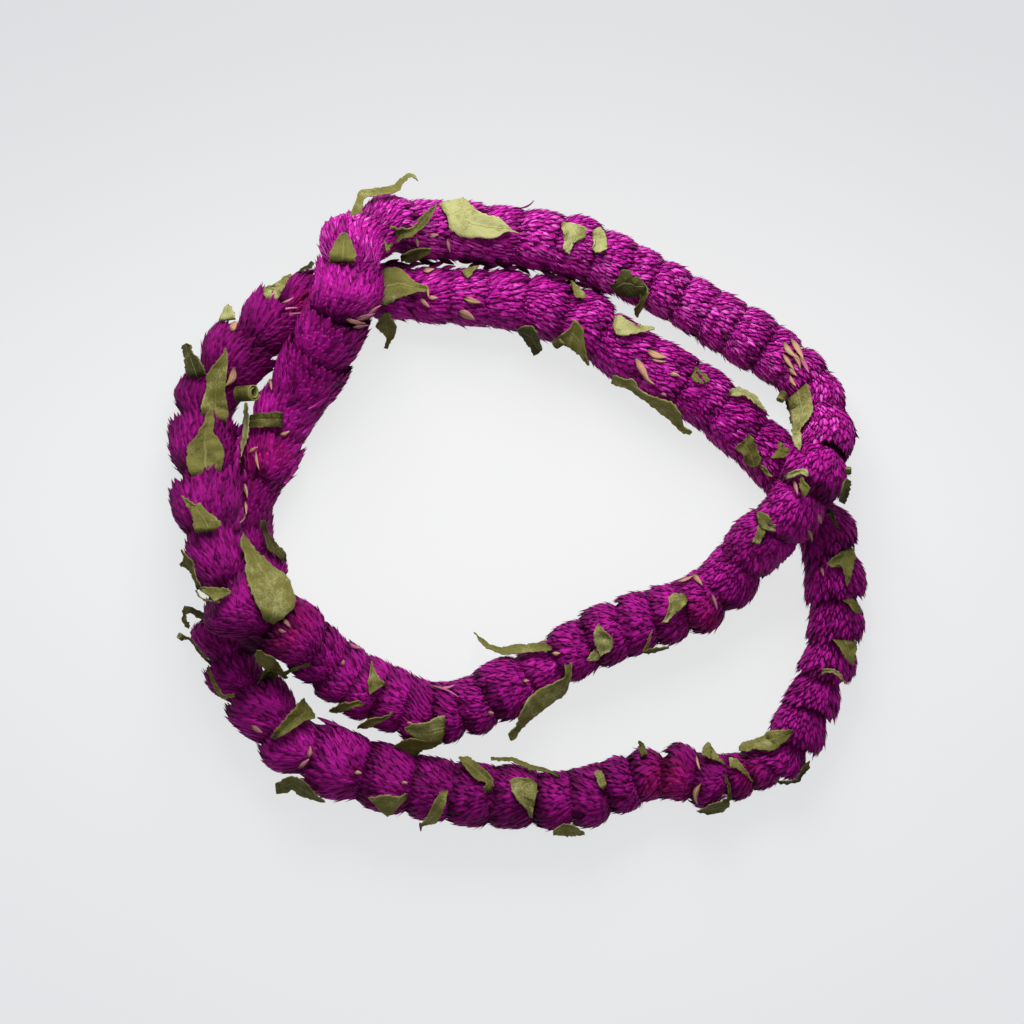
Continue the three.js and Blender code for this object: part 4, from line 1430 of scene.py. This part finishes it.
def odd_bracts(material):
    """Single bracts that stand out from the others, most of them dried pale, some dark ones laid as painted
    shade in the gaps between strands, as one piece.
    """
    random = np.random.default_rng(ODD_SEED)
    rows, columns = 8, 8
    share, side = np.linspace(0, 1, rows + 1), np.linspace(-1, 1, columns + 1)
    wide = np.sin(np.pi * np.clip(share * 0.93 + 0.05, 0, 1) ** 0.8)
    edges = 0.6 * np.abs(side) ** 3
    root = 0.7 * np.clip(1 - share / 0.35, 0, 1)[:, None]
    surface = Surface()
    for x, y, turn, length, width, pale in ODD_BRACTS:
        middle = measured([x, y])[0]
        ahead = np.array([math.cos(math.radians(turn)), math.sin(math.radians(turn))])
        left = np.array([-ahead[1], ahead[0]])
        reach, half = length * PICTURE_STEP, width * PICTURE_STEP * 0.42
        bow = random.normal(0, 0.08) * reach * (share - 0.5) ** 2 * 4
        plan = (
            middle
            + ((share - 0.5) * reach)[:, None, None] * ahead
            + (half * wide[:, None] * side[None, :] + bow[:, None])[..., None] * left
        )
        high = over_strand(plan, head_under(middle), ODD_GAP)
        high += (0.35 * share - 0.5 * np.clip(1 - share / 0.3, 0, 1))[:, None]
        high += half * 0.45 * (1 - side**2)[None, :]
        points = np.concatenate([plan, np.maximum(high, 0.2)[..., None]], axis=-1)
        streaks = random.uniform(0, 0.7, columns + 1) * (random.uniform(0, 1, columns + 1) < 0.6)
        # ridge paints a highlight along the middle of each odd bract; a row with pale below 0 is painted
        # dark all over as painted shade in a gap between strands
        looks = {
            "along": 0.35 + share[:, None] * 0.6,
            "ridge": 0.4 + 0.4 * (1 - side**2)[None, :],
            "shade": (streaks + edges)[None, :] + root if pale > 0 else max(-pale * 1.17, 0.1),
            "pale": max(pale, 0),
            "tone_and_painted_light": 1,
        }
        surface.add(points, grid_faces(rows, columns), looks)
    piece = surface.piece("odd_bracts", material)
    thicken(piece, ODD_THICKNESS * MM)
    hand_over(piece, "bloom")


class LEI_OT_heads(bpy.types.Operator):
    """Covers the strand with flower heads, a run of five heads to a piece"""

    bl_idname = "lei.heads"
    bl_label = "Flower heads"

    def execute(self, context):
        settings = context.scene.lei_heads
        material = bract_material(settings)
        shape, faces = bract_shape()
        for first in range(0, COUNT, HEADS_IN_RUN):
            blooms(first, settings, shape, faces, material)
        odd_bracts(material)
        return {"FINISHED"}


class LEI_OT_leaves(bpy.types.Operator):
    """Adds the dry leaves under the flower heads, a piece to each head that has some"""

    bl_idname = "lei.leaves"
    bl_label = "Leaves"

    def execute(self, context):
        settings = context.scene.lei_leaves
        material = leaf_material(settings)
        for head in sorted({row[0] for row in LEAVES + ROLLED}):
            leaves_of(head, settings, material)
        return {"FINISHED"}


class LEI_OT_thread(bpy.types.Operator):
    """Adds the twisted thread inside the flower heads, with its knot"""

    bl_idname = "lei.thread"
    bl_label = "Thread"

    def execute(self, context):
        settings = context.scene.lei_thread
        material = thread_material(settings.colour)
        surface = Surface()
        ply = settings.ply_radius / MM
        turns = round(ROUTE_LENGTH / (settings.twist / MM))
        steps = turns * PLY_STEPS
        at = np.arange(steps) / steps * ROUTE_LENGTH
        left, up = sides_of(unit(on_route(at, DIRECTIONS)))
        middle = on_route(at)
        around = np.arange(PLY_SIDES) * 2 * math.pi / PLY_SIDES
        rings = [(k * PLY_SIDES, (k + 1) % steps * PLY_SIDES) for k in range(steps)]
        sides = [(side, (side + 1) % PLY_SIDES) for side in range(PLY_SIDES)]
        ply_faces = [[a + k, a + n, b + n, b + k] for a, b in rings for k, n in sides]
        for start in (0, math.pi):
            angle = at / ROUTE_LENGTH * turns * 2 * math.pi + start
            centre = middle + outward(left, up, angle) * ply * 0.95
            points = centre[:, None] + outward(left[:, None], up[:, None], around) * ply
            surface.add(points, ply_faces, {})
        thread = surface.piece("twisted_thread", material)
        select_nothing()
        spot = tuple(JOINTS[0] * MM)
        bpy.ops.mesh.primitive_torus_add(
            location=spot,
            major_radius=KNOT_RADIUS * MM,
            minor_radius=KNOT_STRAND * MM,
            major_segments=20,
            minor_segments=8,
            rotation=(0.6, 0.4, 0),
        )
        knot = bpy.context.object
        knot.data.materials.append(material)
        bpy.ops.object.mode_set(mode="EDIT")
        bpy.ops.mesh.select_all(action="SELECT")
        bpy.ops.mesh.duplicate()
        bpy.ops.transform.rotate(value=1.3, orient_axis="X", center_override=spot)
        bpy.ops.object.mode_set(mode="OBJECT")
        bpy.ops.object.shade_smooth()
        thread.select_set(True)
        bpy.context.view_layer.objects.active = thread
        bpy.ops.object.join()
        hand_over(thread, "thread", "thread")
        return {"FINISHED"}


class LEI_OT_stage(bpy.types.Operator):
    """Adds the pale table, the soft light and the camera straight above"""

    bl_idname = "lei.stage"
    bl_label = "Table, light and camera"

    def execute(self, context):
        settings = context.scene.lei_stage
        select_nothing()
        bpy.ops.mesh.primitive_plane_add(size=settings.floor_size, location=(*VIEW_MIDDLE, 0))
        table = context.object
        table.name = "table"
        table.data.materials.append(table_material(settings.floor_colour))
        world = context.scene.world or bpy.data.worlds.new("studio")
        context.scene.world = world
        world.use_nodes = True
        background = world.node_tree.nodes["Background"]
        background.inputs["Color"].default_value = (1, 1, 1, 1)
        background.inputs["Strength"].default_value = SKY_LIGHT
        for name, place, size, power, colour in LIGHTS:
            bpy.ops.object.light_add(type="AREA", location=place)
            lamp = context.object
            lamp.name = name
            lamp.data.size = size
            lamp.data.energy = power
            lamp.data.color = colour
            lamp.visible_camera = False
            aim = -np.array(place)
            lamp.rotation_euler = (
                math.acos(-aim[2] / np.linalg.norm(aim)),
                0,
                math.atan2(aim[1], aim[0]) - math.pi / 2,
            )
        height = settings.lens / SENSOR_WIDTH * settings.view_width
        bpy.ops.object.camera_add(location=(*VIEW_MIDDLE, height), rotation=(0, 0, 0))
        camera = context.object
        camera.data.lens = settings.lens
        camera.data.sensor_width = SENSOR_WIDTH
        camera.data.clip_end = FARTHEST_SEEN
        context.scene.camera = camera
        context.scene.view_settings.view_transform = "Standard"
        return {"FINISHED"}


class LEI_PT_panel(bpy.types.Panel):
    """Lists the steps that build the lei"""

    bl_idname = "LEI_PT_panel"
    bl_label = "Flower lei"
    bl_space_type = "VIEW_3D"
    bl_region_type = "UI"
    bl_category = "Lei"

    def draw(self, context):
        for group, operator in GROUPS:
            box = self.layout.box()
            settings = getattr(context.scene, group)
            for label in settings.bl_rna.properties.keys():
                if label not in ("rna_type", "name"):
                    box.prop(settings, label)
            box.operator(operator)


GROUPS = (
    ("lei_heads", "lei.heads"),
    ("lei_leaves", "lei.leaves"),
    ("lei_thread", "lei.thread"),
    ("lei_stage", "lei.stage"),
)
SETTINGS = {
    "lei_heads": HeadSettings,
    "lei_leaves": LeafSettings,
    "lei_thread": ThreadSettings,
    "lei_stage": StageSettings,
}
CLASSES = (
    *SETTINGS.values(),
    LEI_OT_heads,
    LEI_OT_leaves,
    LEI_OT_thread,
    LEI_OT_stage,
    LEI_PT_panel,
)


def register():
    for cls in CLASSES:
        bpy.utils.register_class(cls)
    for label, group in SETTINGS.items():
        setattr(bpy.types.Scene, label, PointerProperty(type=group))


def unregister():
    for label in SETTINGS:
        delattr(bpy.types.Scene, label)
    for cls in reversed(CLASSES):
        bpy.utils.unregister_class(cls)


def main():
    register()
    bpy.ops.lei.heads()
    bpy.ops.lei.leaves()
    bpy.ops.lei.thread()
    bpy.ops.lei.stage()


if __name__ == "__main__":
    main()
